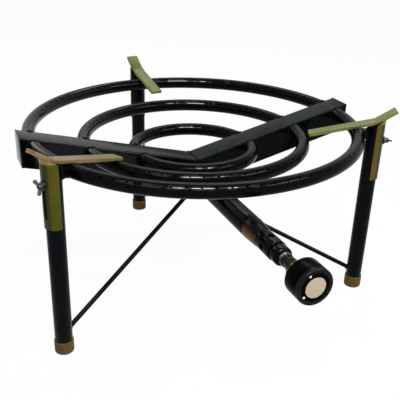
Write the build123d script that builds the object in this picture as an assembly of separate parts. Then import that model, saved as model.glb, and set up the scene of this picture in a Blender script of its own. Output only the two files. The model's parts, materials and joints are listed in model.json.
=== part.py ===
from build123d import *
import copy
import math
import os

# A gas burner for a cooking disc: three dished rings of flame ports on two ducts, a mixing tube with an
# air shutter and a tap, and three legs that carry height-adjustable rests for the disc.
# Millimetres and degrees. +Z is up, the floor is at zero and the mixing tube points along -Y.

# Rings and ducts
RING_HEIGHT = 269.0
OUTER_RING_RADIUS = 250.0
MIDDLE_RING_RADIUS = 170.0
INNER_RING_RADIUS = 92.5
RING_TUBE_RADIUS = 10.0
RING_WALL = 1.6
DISH_ANGLE = 13.8
PORT_RADIUS = 1.5
PORT_PITCH = 18.0
PORT_SETBACK = 12.0
PORT_LEAN = 45.0
PORT_SEAM_TURN = 90.0
ARM_WIDTH = 42.0
ARM_HEIGHT = 44.0
ARM_WALL = 2.5
ARM_REACH = 265.0
ARM_CAP_THICKNESS = 3.0
ARM_OVER_RINGS = 0.4

# Mixing tube, air shutter and tap, listed by their lengths along the tube
MIXING_TUBE_RADIUS = 16.0
MIXING_TUBE_WALL = 2.0
MIXING_TUBE_SEAT = 0.6
MIXING_TUBE_END = 208.0
COLLAR_RADIUS = 16.4
COLLAR_END_RADIUS = 14.2
COLLAR_BORE = 12.0
COLLAR_FLOOR = 4.0
COLLAR_LENGTH = 32.0
CHAMBER_RADIUS = 11.4
CHAMBER_WALL = 1.8
CHAMBER_LENGTH = 36.0
CHAMBER_END_WALL = 4.0
SHUTTER_RADIUS = 14.0
AIR_HOLE_RADIUS = 4.5
AIR_HOLE_COUNT = 4
AIR_HOLE_SETBACK = 18.0
INJECTOR_ACROSS_FLATS = 10.0
INJECTOR_HEAD = 6.0
INJECTOR_NOZZLE = 9.0
INJECTOR_ROOT_RADIUS = 4.0
INJECTOR_TIP_RADIUS = 2.2
INJECTOR_JET_RADIUS = 0.6
TAP_SPIGOT_RADIUS = 6.0
TAP_SPIGOT_LENGTH = 6.0
TAP_NUT_RADIUS = 13.0
TAP_NUT_LENGTH = 17.0
TAP_NUT_ROUND = 4.0
TAP_BODY_RADIUS = 9.2
TAP_BODY_LENGTH = 31.0
TAP_PASSAGE_RADIUS = 2.0
PLUG_RADIUS = 7.0
PLUG_LENGTH = 18.0
PLUG_PORT_RADIUS = 1.5
INLET_SETBACK = 10.0
INLET_BOSS_RADIUS = 8.0
INLET_BOSS_REACH = 15.0
INLET_THREAD_RADIUS = 6.5
INLET_THREAD_LENGTH = 10.0
INLET_BORE = 3.0
INLET_ANGLE = 270.0
BONNET_ACROSS_FLATS = 17.0
BONNET_LENGTH = 8.0
PACKING_RADIUS = 6.5
PACKING_LENGTH = 4.0
SPINDLE_RADIUS = 4.0
KNOB_RADIUS = 24.5
KNOB_LENGTH = 30.0
KNOB_GAP = 3.0
KNOB_ROUND = 2.5
KNOB_BORE_DEPTH = 22.0
KNOB_DISC_RADIUS = 13.8
KNOB_DISC_THICKNESS = 2.0
KNOB_MARK_RADIUS = 1.7
KNOB_MARK_DEPTH = 0.8
KNOB_MARK_ANGLES = (118.0, 217.0)
GRUB_RADIUS = 2.0
GRUB_SETBACK = 8.0
GRUB_ANGLE = 270.0

# Legs, feet and braces
LEG_GAP = 5.0
FRONT_LEG_SWING = 62.5
LEG_RADIUS = 12.5
LEG_WALL = 1.5
LEG_OVER_RING = 14.0
FOOT_HEIGHT = 19.0
FOOT_OVERHANG = 1.2
FOOT_PLUG_LENGTH = 14.0
FOOT_GROOVE = 0.7
FOOT_GROOVE_COUNT = 3
LEG_BLOCK_WIDTH = 14.0
LEG_BLOCK_HEIGHT = 14.0
BRACE_RADIUS = 3.5
BRACE_FOOT_HEIGHT = 27.0
BRACE_MEETING_DROP = 15.0
BRACE_HUB_RADIUS = 12.0
BRACE_HUB_BELOW = 10.0
BRACE_HUB_ABOVE = 6.0
STUD_RADIUS = 4.0
STUD_TAIL = 1.0
STUD_NUT_ACROSS_FLATS = 13.0
STUD_NUT_HEIGHT = 5.0

# Disc rests, their sliders and the wing screws that clamp them
REST_WIDTH = 20.0
REST_THICKNESS = 5.0
REST_GAP = 0.6
REST_INNER_RUNS = {"left": 113.0, "right": 99.0, "rear": 85.0}
REST_BEND_INSET = 1.5
REST_TIP_RUN = 28.0
REST_TIP_ANGLE = 34.0
REST_TURNS = {"left": 0.0, "right": 0.0, "rear": 5.0}
REST_TRAVEL = 45.0
SLIDER_SHEET = 1.5
SLIDER_CLEARANCE = 0.3
SLIDER_WRAP = 90.0
SLIDER_DROP = 71.0
SCREW_RADIUS = 3.0
SCREW_DROP = 9.0
SCREW_PLAY = 0.3
SCREW_TIP = 4.0
WASHER_RADIUS = 6.2
WASHER_THICKNESS = 1.5
WASHER_GAP = 0.3
SCREW_HEAD_GAP = 0.05
SCREW_HUB_RADIUS = 4.6
SCREW_HUB_TOP_RADIUS = 3.4
SCREW_HUB_LENGTH = 6.5
WING_SPAN = 10.5
WING_RISE = 6.0
WING_TIP_HALF = 3.4
WING_TIP_ROUND = 2.4
WING_THICKNESS = 2.2
WING_LEANS = {"left": -65.0, "right": -15.0, "rear": 20.0}
LEG_NUT_WIDTH = 10.0
LEG_NUT_THICKNESS = 4.6
LEG_NUT_GAP = 0.1

# Fits
END_PLAY = 0.3
OVERCUT = 1.0
TURNING_FIT = 0.05
SEATED_FIT = 0.02

# Places worked out from the sizes above
RING_RADII = {"outer": OUTER_RING_RADIUS, "middle": MIDDLE_RING_RADIUS, "inner": INNER_RING_RADIUS}
DISH_SLOPE = math.tan(math.radians(DISH_ANGLE))
ARM_HALF = ARM_WIDTH / 2
ARM_TOP_AT_AXIS = RING_HEIGHT + RING_TUBE_RADIUS + ARM_OVER_RINGS - OUTER_RING_RADIUS * DISH_SLOPE
ARM_FLOOR_AT_AXIS = ARM_TOP_AT_AXIS - ARM_HEIGHT
GAS_AXIS_HEIGHT = ARM_FLOOR_AT_AXIS + MIXING_TUBE_RADIUS + MIXING_TUBE_SEAT
COLLAR_END = MIXING_TUBE_END + COLLAR_LENGTH
CHAMBER_END = COLLAR_END + CHAMBER_LENGTH
AIR_HOLE_PLACE = CHAMBER_END - AIR_HOLE_SETBACK
SPIGOT_TIP = CHAMBER_END - CHAMBER_END_WALL - TAP_SPIGOT_LENGTH
TAP_NUT_END = CHAMBER_END + TAP_NUT_LENGTH
TAP_END = TAP_NUT_END + TAP_BODY_LENGTH
PLUG_SEAT = TAP_END - PLUG_LENGTH - END_PLAY
INLET_PLACE = TAP_END - INLET_SETBACK
BONNET_END = TAP_END + BONNET_LENGTH
KNOB_BACK = BONNET_END + KNOB_GAP
KNOB_FRONT = KNOB_BACK + KNOB_LENGTH
LEG_CIRCLE = OUTER_RING_RADIUS + RING_TUBE_RADIUS + LEG_GAP + LEG_RADIUS
LEG_AZIMUTHS = {"left": 270.0 - FRONT_LEG_SWING, "right": 270.0 + FRONT_LEG_SWING, "rear": 90.0}
LEG_TOP = RING_HEIGHT + LEG_OVER_RING
BRACE_MEETING_HEIGHT = ARM_FLOOR_AT_AXIS - BRACE_MEETING_DROP
REST_BEND_REACH = LEG_CIRCLE - REST_BEND_INSET
SCREW_HEIGHT = RING_HEIGHT - SCREW_DROP
SLIDER_INSIDE = LEG_RADIUS + SLIDER_CLEARANCE
SLIDER_OUTSIDE = SLIDER_INSIDE + SLIDER_SHEET
WASHER_PLACE = SLIDER_OUTSIDE + WASHER_GAP
HEAD_PLACE = WASHER_PLACE + WASHER_THICKNESS + SCREW_HEAD_GAP
BIG = 4 * OUTER_RING_RADIUS

GAS_AXIS = Plane(origin=(0, 0, GAS_AXIS_HEIGHT), x_dir=(1, 0, 0), z_dir=(0, -1, 0)).location
PARTS = {}


def dish_height(reach):
    """Height of the dished surface that the ring centrelines lie on."""
    return RING_HEIGHT - (OUTER_RING_RADIUS - reach) * DISH_SLOPE


def arm_top(reach):
    """Height of a duct's upper face at this distance from the burner's axis."""
    return ARM_TOP_AT_AXIS + reach * DISH_SLOPE


def along_tube(radius, start, end):
    """A round bar on the mixing tube's axis, between two distances from the burner's axis."""
    return GAS_AXIS * Pos(0, 0, (start + end) / 2) * Cylinder(radius, end - start)


def pipe_along_tube(radius, bore, start, end):
    return along_tube(radius, start, end) - along_tube(bore, start - OVERCUT, end + OVERCUT)


def hexagon_along_tube(across_flats, start, end):
    outline = RegularPolygon(across_flats / 2, 6, major_radius=False)
    return GAS_AXIS * Pos(0, 0, start) * extrude(outline, end - start)


def across_tube(radius, place, angle, start, end):
    """A round bar square to the tube, at an angle that turns from +X towards +Z."""
    bar = Pos((start + end) / 2, 0, 0) * Rot(0, 90, 0) * Cylinder(radius, end - start)
    return GAS_AXIS * Pos(0, 0, place) * Rot(0, 0, angle) * bar


def radial_plate(points, width):
    """A plate whose outline is drawn in the plane of distance and height, and that is centred across it."""
    outline = make_face(Polyline(*points, close=True))
    return extrude(Plane.XZ * outline, width / 2, both=True)


def ring_tube(ring_radius):
    """One whole ring of hollow tube, before it is cut and drilled."""
    height = dish_height(ring_radius)
    solid = Torus(ring_radius, RING_TUBE_RADIUS) - Torus(ring_radius, RING_TUBE_RADIUS - RING_WALL)
    return Pos(0, 0, height) * solid


def port_rows(ring_radius):
    """Leans and angles of the ports on the rear half of a ring: two staggered rows, clear of both ducts."""
    margin = math.degrees(math.asin((ARM_HALF + PORT_SETBACK) / ring_radius))
    span = 180 - 2 * margin
    count = max(2, round(math.radians(span) * ring_radius / PORT_PITCH))
    outer_row = [(PORT_LEAN, margin + span * i / count) for i in range(count + 1)]
    inner_row = [(-PORT_LEAN, margin + span * (i + 0.5) / count) for i in range(count)]
    return outer_row + inner_row


def half_ring(ring_radius, side):
    """The half of a ring on one side (+1 rear, -1 front), cut square where it meets the ducts' walls."""
    keep = Pos(0, side * (ARM_HALF + BIG / 2), 0) * Box(BIG, BIG, BIG)
    centre = Pos(ring_radius, 0, dish_height(ring_radius))
    drill = Rot(0, 0, PORT_SEAM_TURN) * Cylinder(PORT_RADIUS, 4 * RING_WALL)
    drill = Pos(0, 0, RING_TUBE_RADIUS - RING_WALL) * drill
    drills = []
    for lean, angle in port_rows(ring_radius):
        drills.append(Rot(0, 0, side * angle) * centre * Rot(0, lean, 0) * drill)
    return (ring_tube(ring_radius) & keep) - drills


def rings():
    for name, radius in RING_RADII.items():
        PARTS[f"{name}_ring_front"] = half_ring(radius, -1)
        PARTS[f"{name}_ring_rear"] = half_ring(radius, 1)


def arm_outline(inset, start, end):
    drop = inset / math.cos(math.radians(DISH_ANGLE))
    upper = [(x, 0, arm_top(x) - drop) for x in (start, end)]
    lower = [(x, 0, arm_top(x) - ARM_HEIGHT + drop) for x in (end, start)]
    return make_face(Polyline(*upper, *lower, close=True))


def arm():
    """The duct on the right: a sloping rectangular tube with gas holes to the rings and the mixing tube."""
    solid = extrude(arm_outline(0, 0, ARM_REACH), ARM_HALF, both=True)
    solid -= extrude(arm_outline(ARM_WALL, -OVERCUT, ARM_REACH + OVERCUT), ARM_HALF - ARM_WALL, both=True)
    for radius in RING_RADII.values():
        reach = math.sqrt(radius**2 - ARM_HALF**2)
        hole = Cylinder(RING_TUBE_RADIUS - RING_WALL, ARM_WIDTH + 2 * OVERCUT)
        solid -= Pos(reach, 0, dish_height(radius)) * Rot(90, 0, 0) * hole
    bore = MIXING_TUBE_RADIUS - MIXING_TUBE_WALL
    return solid - along_tube(bore, ARM_HALF - ARM_WALL - OVERCUT, ARM_HALF + OVERCUT)


def arms():
    right_arm = arm()
    right_cap = extrude(arm_outline(0, ARM_REACH, ARM_REACH + ARM_CAP_THICKNESS), ARM_HALF, both=True)
    PARTS["right_arm"] = right_arm
    PARTS["right_arm_cap"] = right_cap
    PARTS["left_arm"] = mirror(right_arm, Plane.YZ)
    PARTS["left_arm_cap"] = mirror(right_cap, Plane.YZ)


def mixing_tube():
    bore = MIXING_TUBE_RADIUS - MIXING_TUBE_WALL
    PARTS["mixing_tube"] = pipe_along_tube(MIXING_TUBE_RADIUS, bore, ARM_HALF, MIXING_TUBE_END)


def air_mixer():
    """A tapered collar on the tube's end that narrows to a drilled chamber, and the shutter on it."""
    angles = [360 / AIR_HOLE_COUNT * i for i in range(AIR_HOLE_COUNT)]
    chamber_bore = CHAMBER_RADIUS - CHAMBER_WALL
    taper = Cone(COLLAR_RADIUS, COLLAR_END_RADIUS, COLLAR_LENGTH)
    collar = GAS_AXIS * Pos(0, 0, (MIXING_TUBE_END + COLLAR_END) / 2) * taper
    collar += along_tube(CHAMBER_RADIUS, COLLAR_END, CHAMBER_END)
    collar -= along_tube(COLLAR_BORE, MIXING_TUBE_END - OVERCUT, COLLAR_END - COLLAR_FLOOR)
    collar -= along_tube(chamber_bore, COLLAR_END - COLLAR_FLOOR - OVERCUT, CHAMBER_END - CHAMBER_END_WALL)
    collar -= along_tube(TAP_SPIGOT_RADIUS + SEATED_FIT, SPIGOT_TIP, CHAMBER_END + OVERCUT)
    shutter_bore = CHAMBER_RADIUS + TURNING_FIT
    start = COLLAR_END + END_PLAY
    end = CHAMBER_END - END_PLAY
    shutter = pipe_along_tube(SHUTTER_RADIUS, shutter_bore, start, end)
    for angle in angles:
        hole = across_tube(AIR_HOLE_RADIUS, AIR_HOLE_PLACE, angle, 0, 2 * SHUTTER_RADIUS)
        hole -= along_tube(chamber_bore / 2, 0, KNOB_FRONT)
        collar -= hole
        shutter -= hole
    PARTS["mixer_collar"] = collar
    PARTS["air_shutter"] = shutter


def injector():
    """A brass jet: a hexagon head on the tap's spigot and a tapered nozzle that points up the tube."""
    head_start = SPIGOT_TIP - INJECTOR_HEAD
    nozzle = Cone(INJECTOR_ROOT_RADIUS, INJECTOR_TIP_RADIUS, INJECTOR_NOZZLE)
    jet = hexagon_along_tube(INJECTOR_ACROSS_FLATS, head_start, SPIGOT_TIP)
    jet += GAS_AXIS * Pos(0, 0, head_start - INJECTOR_NOZZLE / 2) * Rot(180, 0, 0) * nozzle
    PARTS["injector"] = jet - along_tube(INJECTOR_JET_RADIUS, 0, SPIGOT_TIP + OVERCUT)


def tap():
    """The tap: a nut that holds its brass body to the chamber, the plug that turns, a bonnet and a packing."""
    spigot_fit = TAP_SPIGOT_RADIUS + SEATED_FIT
    nut = fillet(along_tube(TAP_NUT_RADIUS, CHAMBER_END, TAP_NUT_END).edges(), TAP_NUT_ROUND)
    PARTS["tap_nut"] = nut - along_tube(spigot_fit, CHAMBER_END - OVERCUT, TAP_NUT_END + OVERCUT)

    body = along_tube(TAP_BODY_RADIUS, TAP_NUT_END, TAP_END)
    body += along_tube(TAP_SPIGOT_RADIUS, SPIGOT_TIP, TAP_END)
    body += across_tube(INLET_BOSS_RADIUS, INLET_PLACE, INLET_ANGLE, 0, INLET_BOSS_REACH)
    body -= along_tube(PLUG_RADIUS + TURNING_FIT, PLUG_SEAT, TAP_END + OVERCUT)
    body -= along_tube(TAP_PASSAGE_RADIUS, SPIGOT_TIP - OVERCUT, PLUG_SEAT + OVERCUT)
    body -= across_tube(INLET_BORE, INLET_PLACE, INLET_ANGLE, 0, INLET_BOSS_REACH + OVERCUT)
    PARTS["tap_body"] = body

    inlet_end = INLET_BOSS_REACH + INLET_THREAD_LENGTH
    inlet = across_tube(INLET_THREAD_RADIUS, INLET_PLACE, INLET_ANGLE, INLET_BOSS_REACH, inlet_end)
    bore = across_tube(INLET_BORE, INLET_PLACE, INLET_ANGLE, 0, inlet_end + OVERCUT)
    PARTS["gas_inlet"] = inlet - bore

    plug = along_tube(PLUG_RADIUS, PLUG_SEAT + END_PLAY, TAP_END)
    plug += along_tube(SPINDLE_RADIUS, TAP_END - OVERCUT, KNOB_BACK + KNOB_BORE_DEPTH)
    plug -= along_tube(TAP_PASSAGE_RADIUS, PLUG_SEAT, INLET_PLACE + TAP_PASSAGE_RADIUS)
    plug -= across_tube(PLUG_PORT_RADIUS, INLET_PLACE, 0, 0, 2 * PLUG_RADIUS)
    PARTS["tap_plug"] = plug

    spindle_bore = SPINDLE_RADIUS + TURNING_FIT
    packing_start = TAP_END + END_PLAY
    packing_end = packing_start + PACKING_LENGTH
    bonnet = hexagon_along_tube(BONNET_ACROSS_FLATS, TAP_END, BONNET_END)
    bonnet -= along_tube(spindle_bore, TAP_END - OVERCUT, BONNET_END + OVERCUT)
    PARTS["tap_bonnet"] = bonnet - along_tube(PACKING_RADIUS, TAP_END - OVERCUT, packing_end)
    PARTS["spindle_packing"] = pipe_along_tube(PACKING_RADIUS, spindle_bore, packing_start, packing_end)


def knob():
    """A round knob on the spindle with a pale disc and two marks let into its face, and its grub screw."""
    body = along_tube(KNOB_RADIUS, KNOB_BACK, KNOB_FRONT)
    body = fillet(body.edges().filter_by(GeomType.CIRCLE), KNOB_ROUND)
    body -= along_tube(SPINDLE_RADIUS + SEATED_FIT, KNOB_BACK - OVERCUT, KNOB_BACK + KNOB_BORE_DEPTH)
    body -= along_tube(KNOB_DISC_RADIUS + SEATED_FIT, KNOB_FRONT - KNOB_DISC_THICKNESS, KNOB_FRONT + OVERCUT)
    mark_circle = (KNOB_DISC_RADIUS + KNOB_RADIUS - KNOB_ROUND) / 2
    marks = []
    for angle in KNOB_MARK_ANGLES:
        place = Rot(0, 0, angle) * Pos(mark_circle, 0, KNOB_FRONT - KNOB_MARK_DEPTH / 2)
        marks.append(GAS_AXIS * place * Cylinder(KNOB_MARK_RADIUS, KNOB_MARK_DEPTH))
    body -= marks
    grub_place = KNOB_BACK + GRUB_SETBACK
    grub_fit = GRUB_RADIUS + SEATED_FIT
    body -= across_tube(grub_fit, grub_place, GRUB_ANGLE, SPINDLE_RADIUS, KNOB_RADIUS + OVERCUT)
    PARTS["knob"] = body
    PARTS["knob_disc"] = along_tube(KNOB_DISC_RADIUS, KNOB_FRONT - KNOB_DISC_THICKNESS, KNOB_FRONT)
    PARTS["knob_marks"] = Compound(children=marks)
    grub_end = KNOB_RADIUS - KNOB_ROUND
    PARTS["knob_grub_screw"] = across_tube(GRUB_RADIUS, grub_place, GRUB_ANGLE, SPINDLE_RADIUS, grub_end)


def leg_tube():
    solid = Cylinder(LEG_RADIUS, LEG_TOP - FOOT_HEIGHT) - Cylinder(LEG_RADIUS - LEG_WALL, BIG)
    solid = Pos(LEG_CIRCLE, 0, (LEG_TOP + FOOT_HEIGHT) / 2) * solid
    return solid - outward_bar(SCREW_RADIUS + SCREW_PLAY, 0, 2 * LEG_RADIUS)


def outward_bar(radius, start, end):
    """A round bar at the wing screw's height, between two distances outwards from a leg's axis."""
    bar = Pos((start + end) / 2, 0, 0) * Rot(0, 90, 0) * Cylinder(radius, end - start)
    return Pos(LEG_CIRCLE, 0, SCREW_HEIGHT) * bar


def foot_cap():
    """A grooved foot as wide as the leg, with a plug that is pushed up into the tube."""
    outside = LEG_RADIUS + FOOT_OVERHANG
    foot = Pos(0, 0, FOOT_HEIGHT / 2) * Cylinder(outside, FOOT_HEIGHT)
    pitch = FOOT_HEIGHT / (FOOT_GROOVE_COUNT + 1)
    for i in range(FOOT_GROOVE_COUNT):
        foot -= Pos(0, 0, pitch * (i + 1)) * Torus(outside, FOOT_GROOVE)
    plug = Cylinder(LEG_RADIUS - LEG_WALL - SEATED_FIT, FOOT_PLUG_LENGTH)
    foot += Pos(0, 0, FOOT_HEIGHT + FOOT_PLUG_LENGTH / 2) * plug
    return Pos(LEG_CIRCLE, 0, 0) * foot


def leg_block():
    """The short welded block between the outer ring and a leg, hollowed to both."""
    length = LEG_CIRCLE - OUTER_RING_RADIUS
    middle = (LEG_CIRCLE + OUTER_RING_RADIUS) / 2
    block = Pos(middle, 0, RING_HEIGHT) * Box(length, LEG_BLOCK_WIDTH, LEG_BLOCK_HEIGHT)
    block -= Pos(0, 0, RING_HEIGHT) * Torus(OUTER_RING_RADIUS, RING_TUBE_RADIUS)
    return block - Pos(LEG_CIRCLE, 0, RING_HEIGHT) * Cylinder(LEG_RADIUS, BIG)


def brace():
    """A rod from low on a leg up to the hub under the ducts."""
    low = Vector(LEG_CIRCLE, 0, BRACE_FOOT_HEIGHT)
    high = Vector(0, 0, BRACE_MEETING_HEIGHT)
    rod = Plane(origin=low, z_dir=high - low).location
    length = (high - low).length
    solid = rod * Pos(0, 0, length / 2) * Cylinder(BRACE_RADIUS, length)
    solid -= Pos(LEG_CIRCLE, 0, BRACE_FOOT_HEIGHT) * Cylinder(LEG_RADIUS, BIG)
    return solid - brace_hub_blank()


def brace_hub_blank():
    height = BRACE_HUB_BELOW + BRACE_HUB_ABOVE
    middle = BRACE_MEETING_HEIGHT + (BRACE_HUB_ABOVE - BRACE_HUB_BELOW) / 2
    return Pos(0, 0, middle) * Cylinder(BRACE_HUB_RADIUS, height)


def brace_hub():
    """The hub that the three braces run into, with the stud and nut that hold it under the ducts."""
    hub_floor = BRACE_MEETING_HEIGHT - BRACE_HUB_BELOW
    stud_foot = hub_floor - STUD_NUT_HEIGHT - STUD_TAIL
    stud_bar = Cylinder(STUD_RADIUS, ARM_TOP_AT_AXIS - stud_foot)
    stud_bar = Pos(0, 0, (stud_foot + ARM_TOP_AT_AXIS) / 2) * stud_bar
    ducts = extrude(arm_outline(0, 0, ARM_REACH), ARM_HALF, both=True)
    stud = stud_bar - [ducts, mirror(ducts, Plane.YZ)]
    stud_bore = Pos(0, 0, BRACE_MEETING_HEIGHT) * Cylinder(STUD_RADIUS + SEATED_FIT, BIG)
    nut = extrude(RegularPolygon(STUD_NUT_ACROSS_FLATS / 2, 6, major_radius=False), STUD_NUT_HEIGHT)
    PARTS["brace_hub"] = brace_hub_blank() - stud_bore
    PARTS["brace_stud"] = stud
    PARTS["brace_nut"] = Pos(0, 0, hub_floor - STUD_NUT_HEIGHT) * nut - stud_bore


def rest_lines(inner_run):
    """The rest's upper line, and its lower line one thickness below, each from the inner end to the tip."""
    slopes = (math.radians(DISH_ANGLE), math.radians(REST_TIP_ANGLE))
    over_rings = (RING_TUBE_RADIUS + REST_GAP + REST_THICKNESS) / math.cos(slopes[0])
    bend = (REST_BEND_REACH, dish_height(REST_BEND_REACH) + over_rings)
    inner = (bend[0] - inner_run, bend[1] - inner_run * math.tan(slopes[0]))
    tip = (bend[0] + REST_TIP_RUN, bend[1] + REST_TIP_RUN * math.tan(slopes[1]))
    middle = (slopes[0] + slopes[1]) / 2
    mitre = REST_THICKNESS / math.cos((slopes[1] - slopes[0]) / 2)
    leans = (slopes[0], middle, slopes[1])
    depths = (REST_THICKNESS, mitre, REST_THICKNESS)
    upper = [inner, bend, tip]
    lower = [(p[0] + d * math.sin(a), p[1] - d * math.cos(a)) for p, a, d in zip(upper, leans, depths)]
    return upper, lower


def disc_rest(name):
    """A flat bar, bent up at its outer end, that the disc's rim lies on."""
    upper, lower = rest_lines(REST_INNER_RUNS[name])
    return radial_plate(upper + lower[::-1], REST_WIDTH)


def slider(name):
    """A half-round sheet on the leg's outer side, cut to the rest's underside and slotted for its screw."""
    foot = RING_HEIGHT - SLIDER_DROP
    bend, tip = rest_lines(REST_INNER_RUNS[name])[1][1:]
    slope = (tip[1] - bend[1]) / (tip[0] - bend[0])
    ends = (LEG_CIRCLE, LEG_CIRCLE + 2 * SLIDER_OUTSIDE)
    top = [(x, bend[1] + (x - bend[0]) * slope) for x in ends]
    height = top[1][1] - foot
    pipe = Cylinder(SLIDER_OUTSIDE, height) - Cylinder(SLIDER_INSIDE, height)
    edge = (BIG * math.cos(math.radians(SLIDER_WRAP)), BIG * math.sin(math.radians(SLIDER_WRAP)))
    fan = [(0, 0), (edge[0], -edge[1]), (BIG, -edge[1]), (BIG, edge[1]), edge]
    wedge = extrude(make_face(Polyline(*fan, close=True)), height, both=True)
    sheet = Pos(LEG_CIRCLE, 0, foot + height / 2) * (pipe & wedge)
    below = radial_plate([*top, (ends[1], 0), (ends[0], 0)], BIG)
    slot = SlotCenterToCenter(REST_TRAVEL, 2 * (SCREW_RADIUS + SCREW_PLAY))
    window = extrude(Plane.YZ * Rot(0, 0, 90) * slot, 2 * SLIDER_OUTSIDE)
    window = Pos(LEG_CIRCLE, 0, SCREW_HEIGHT - REST_TRAVEL / 2) * window
    return (sheet & below) - window


def wing_screw(name):
    """A screw with a conical hub and two rounded wings, on an axis that points out from the leg."""
    shank = outward_bar(SCREW_RADIUS, SCREW_TIP, HEAD_PLACE)
    hub = Cone(SCREW_HUB_RADIUS, SCREW_HUB_TOP_RADIUS, SCREW_HUB_LENGTH)
    hub = Pos(HEAD_PLACE + SCREW_HUB_LENGTH / 2, 0, 0) * Rot(0, 90, 0) * hub
    outline = [(0, 0), (SCREW_HUB_LENGTH, 0), (SCREW_HUB_LENGTH + WING_RISE, WING_SPAN),
               (SCREW_HUB_LENGTH + WING_RISE - 2 * WING_TIP_HALF, WING_SPAN)]
    wing = extrude(make_face(Polyline(*outline, close=True)), WING_THICKNESS / 2, both=True)
    tips = wing.edges().filter_by(Axis.Z).group_by(Axis.Y)[-1]
    wing = Pos(HEAD_PLACE, 0, 0) * fillet(tips, WING_TIP_ROUND)
    head = Rot(WING_LEANS[name], 0, 0) * (hub + wing + Rot(180, 0, 0) * wing)
    return shank + Pos(LEG_CIRCLE, 0, SCREW_HEIGHT) * head


def washer():
    end = WASHER_PLACE + WASHER_THICKNESS
    return outward_bar(WASHER_RADIUS, WASHER_PLACE, end) - outward_bar(SCREW_RADIUS + SCREW_PLAY, 0, BIG)


def leg_nut():
    """A square nut inside the leg, as far out as the tube's bore lets its corners go."""
    bore = LEG_RADIUS - LEG_WALL
    face = math.sqrt(bore**2 - (LEG_NUT_WIDTH / 2) ** 2) - LEG_NUT_GAP
    block = Box(LEG_NUT_THICKNESS, LEG_NUT_WIDTH, LEG_NUT_WIDTH)
    block = Pos(LEG_CIRCLE + face - LEG_NUT_THICKNESS / 2, 0, SCREW_HEIGHT) * block
    return block - outward_bar(SCREW_RADIUS + TURNING_FIT, 0, LEG_RADIUS)


def legs():
    """Each leg with its foot, block and brace, and its rest and screw, which may be turned on the leg."""
    plain = {"foot_cap": foot_cap(), "leg_block": leg_block(), "brace": brace()}
    turned = {"leg": leg_tube(), "leg_nut": leg_nut(), "screw_washer": washer()}
    for name, azimuth in LEG_AZIMUTHS.items():
        at_leg = Rot(0, 0, azimuth)
        at_rest = at_leg * Pos(LEG_CIRCLE, 0, 0) * Rot(0, 0, REST_TURNS[name]) * Pos(-LEG_CIRCLE, 0, 0)
        for kind, shape in plain.items():
            PARTS[f"{kind}_{name}"] = at_leg * shape
        for kind, shape in turned.items():
            PARTS[f"{kind}_{name}"] = at_rest * shape
        PARTS[f"disc_rest_{name}"] = at_rest * disc_rest(name)
        PARTS[f"rest_slider_{name}"] = at_rest * slider(name)
        PARTS[f"wing_screw_{name}"] = at_rest * wing_screw(name)


rings()
arms()
mixing_tube()
air_mixer()
injector()
tap()
knob()
brace_hub()
legs()

# The origin is on the floor below the middle of the whole burner.
whole = Compound(children=[copy.copy(shape) for shape in PARTS.values()]).bounding_box()
middle = whole.center()
to_origin = Pos(-middle.X, -middle.Y, -whole.min.Z)

os.makedirs("parts", exist_ok=True)
for name, shape in PARTS.items():
    export_step(to_origin * shape, f"parts/{name}.step")

print("parts", len(PARTS), "moved by", [round(v, 3) for v in (-middle.X, -middle.Y, -whole.min.Z)])
print("whole", [round(v, 3) for v in whole.size])
print("gas axis height", round(GAS_AXIS_HEIGHT, 3), "inlet at y", round(-INLET_PLACE - middle.Y, 3))
for name, azimuth in LEG_AZIMUTHS.items():
    turn = math.radians(azimuth)
    outward = math.radians(azimuth + REST_TURNS[name])
    place = (LEG_CIRCLE * math.cos(turn) - middle.X, LEG_CIRCLE * math.sin(turn) - middle.Y, SCREW_HEIGHT)
    print("leg", name, "outward", [round(math.cos(outward), 6), round(math.sin(outward), 6)],
          "screw axis through", [round(v, 3) for v in place])
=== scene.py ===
# %% [markdown]
# A gas burner for a cooking disc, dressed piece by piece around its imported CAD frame. The frame gives every
# place and most sizes. The script remakes the pieces that show as smooth meshes with real edges, welds,
# ports and threads, and gives each surface a procedural finish.

# %% Load the frame
import json
import math

import bmesh
import bpy
from mathutils import Matrix, Vector

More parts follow.
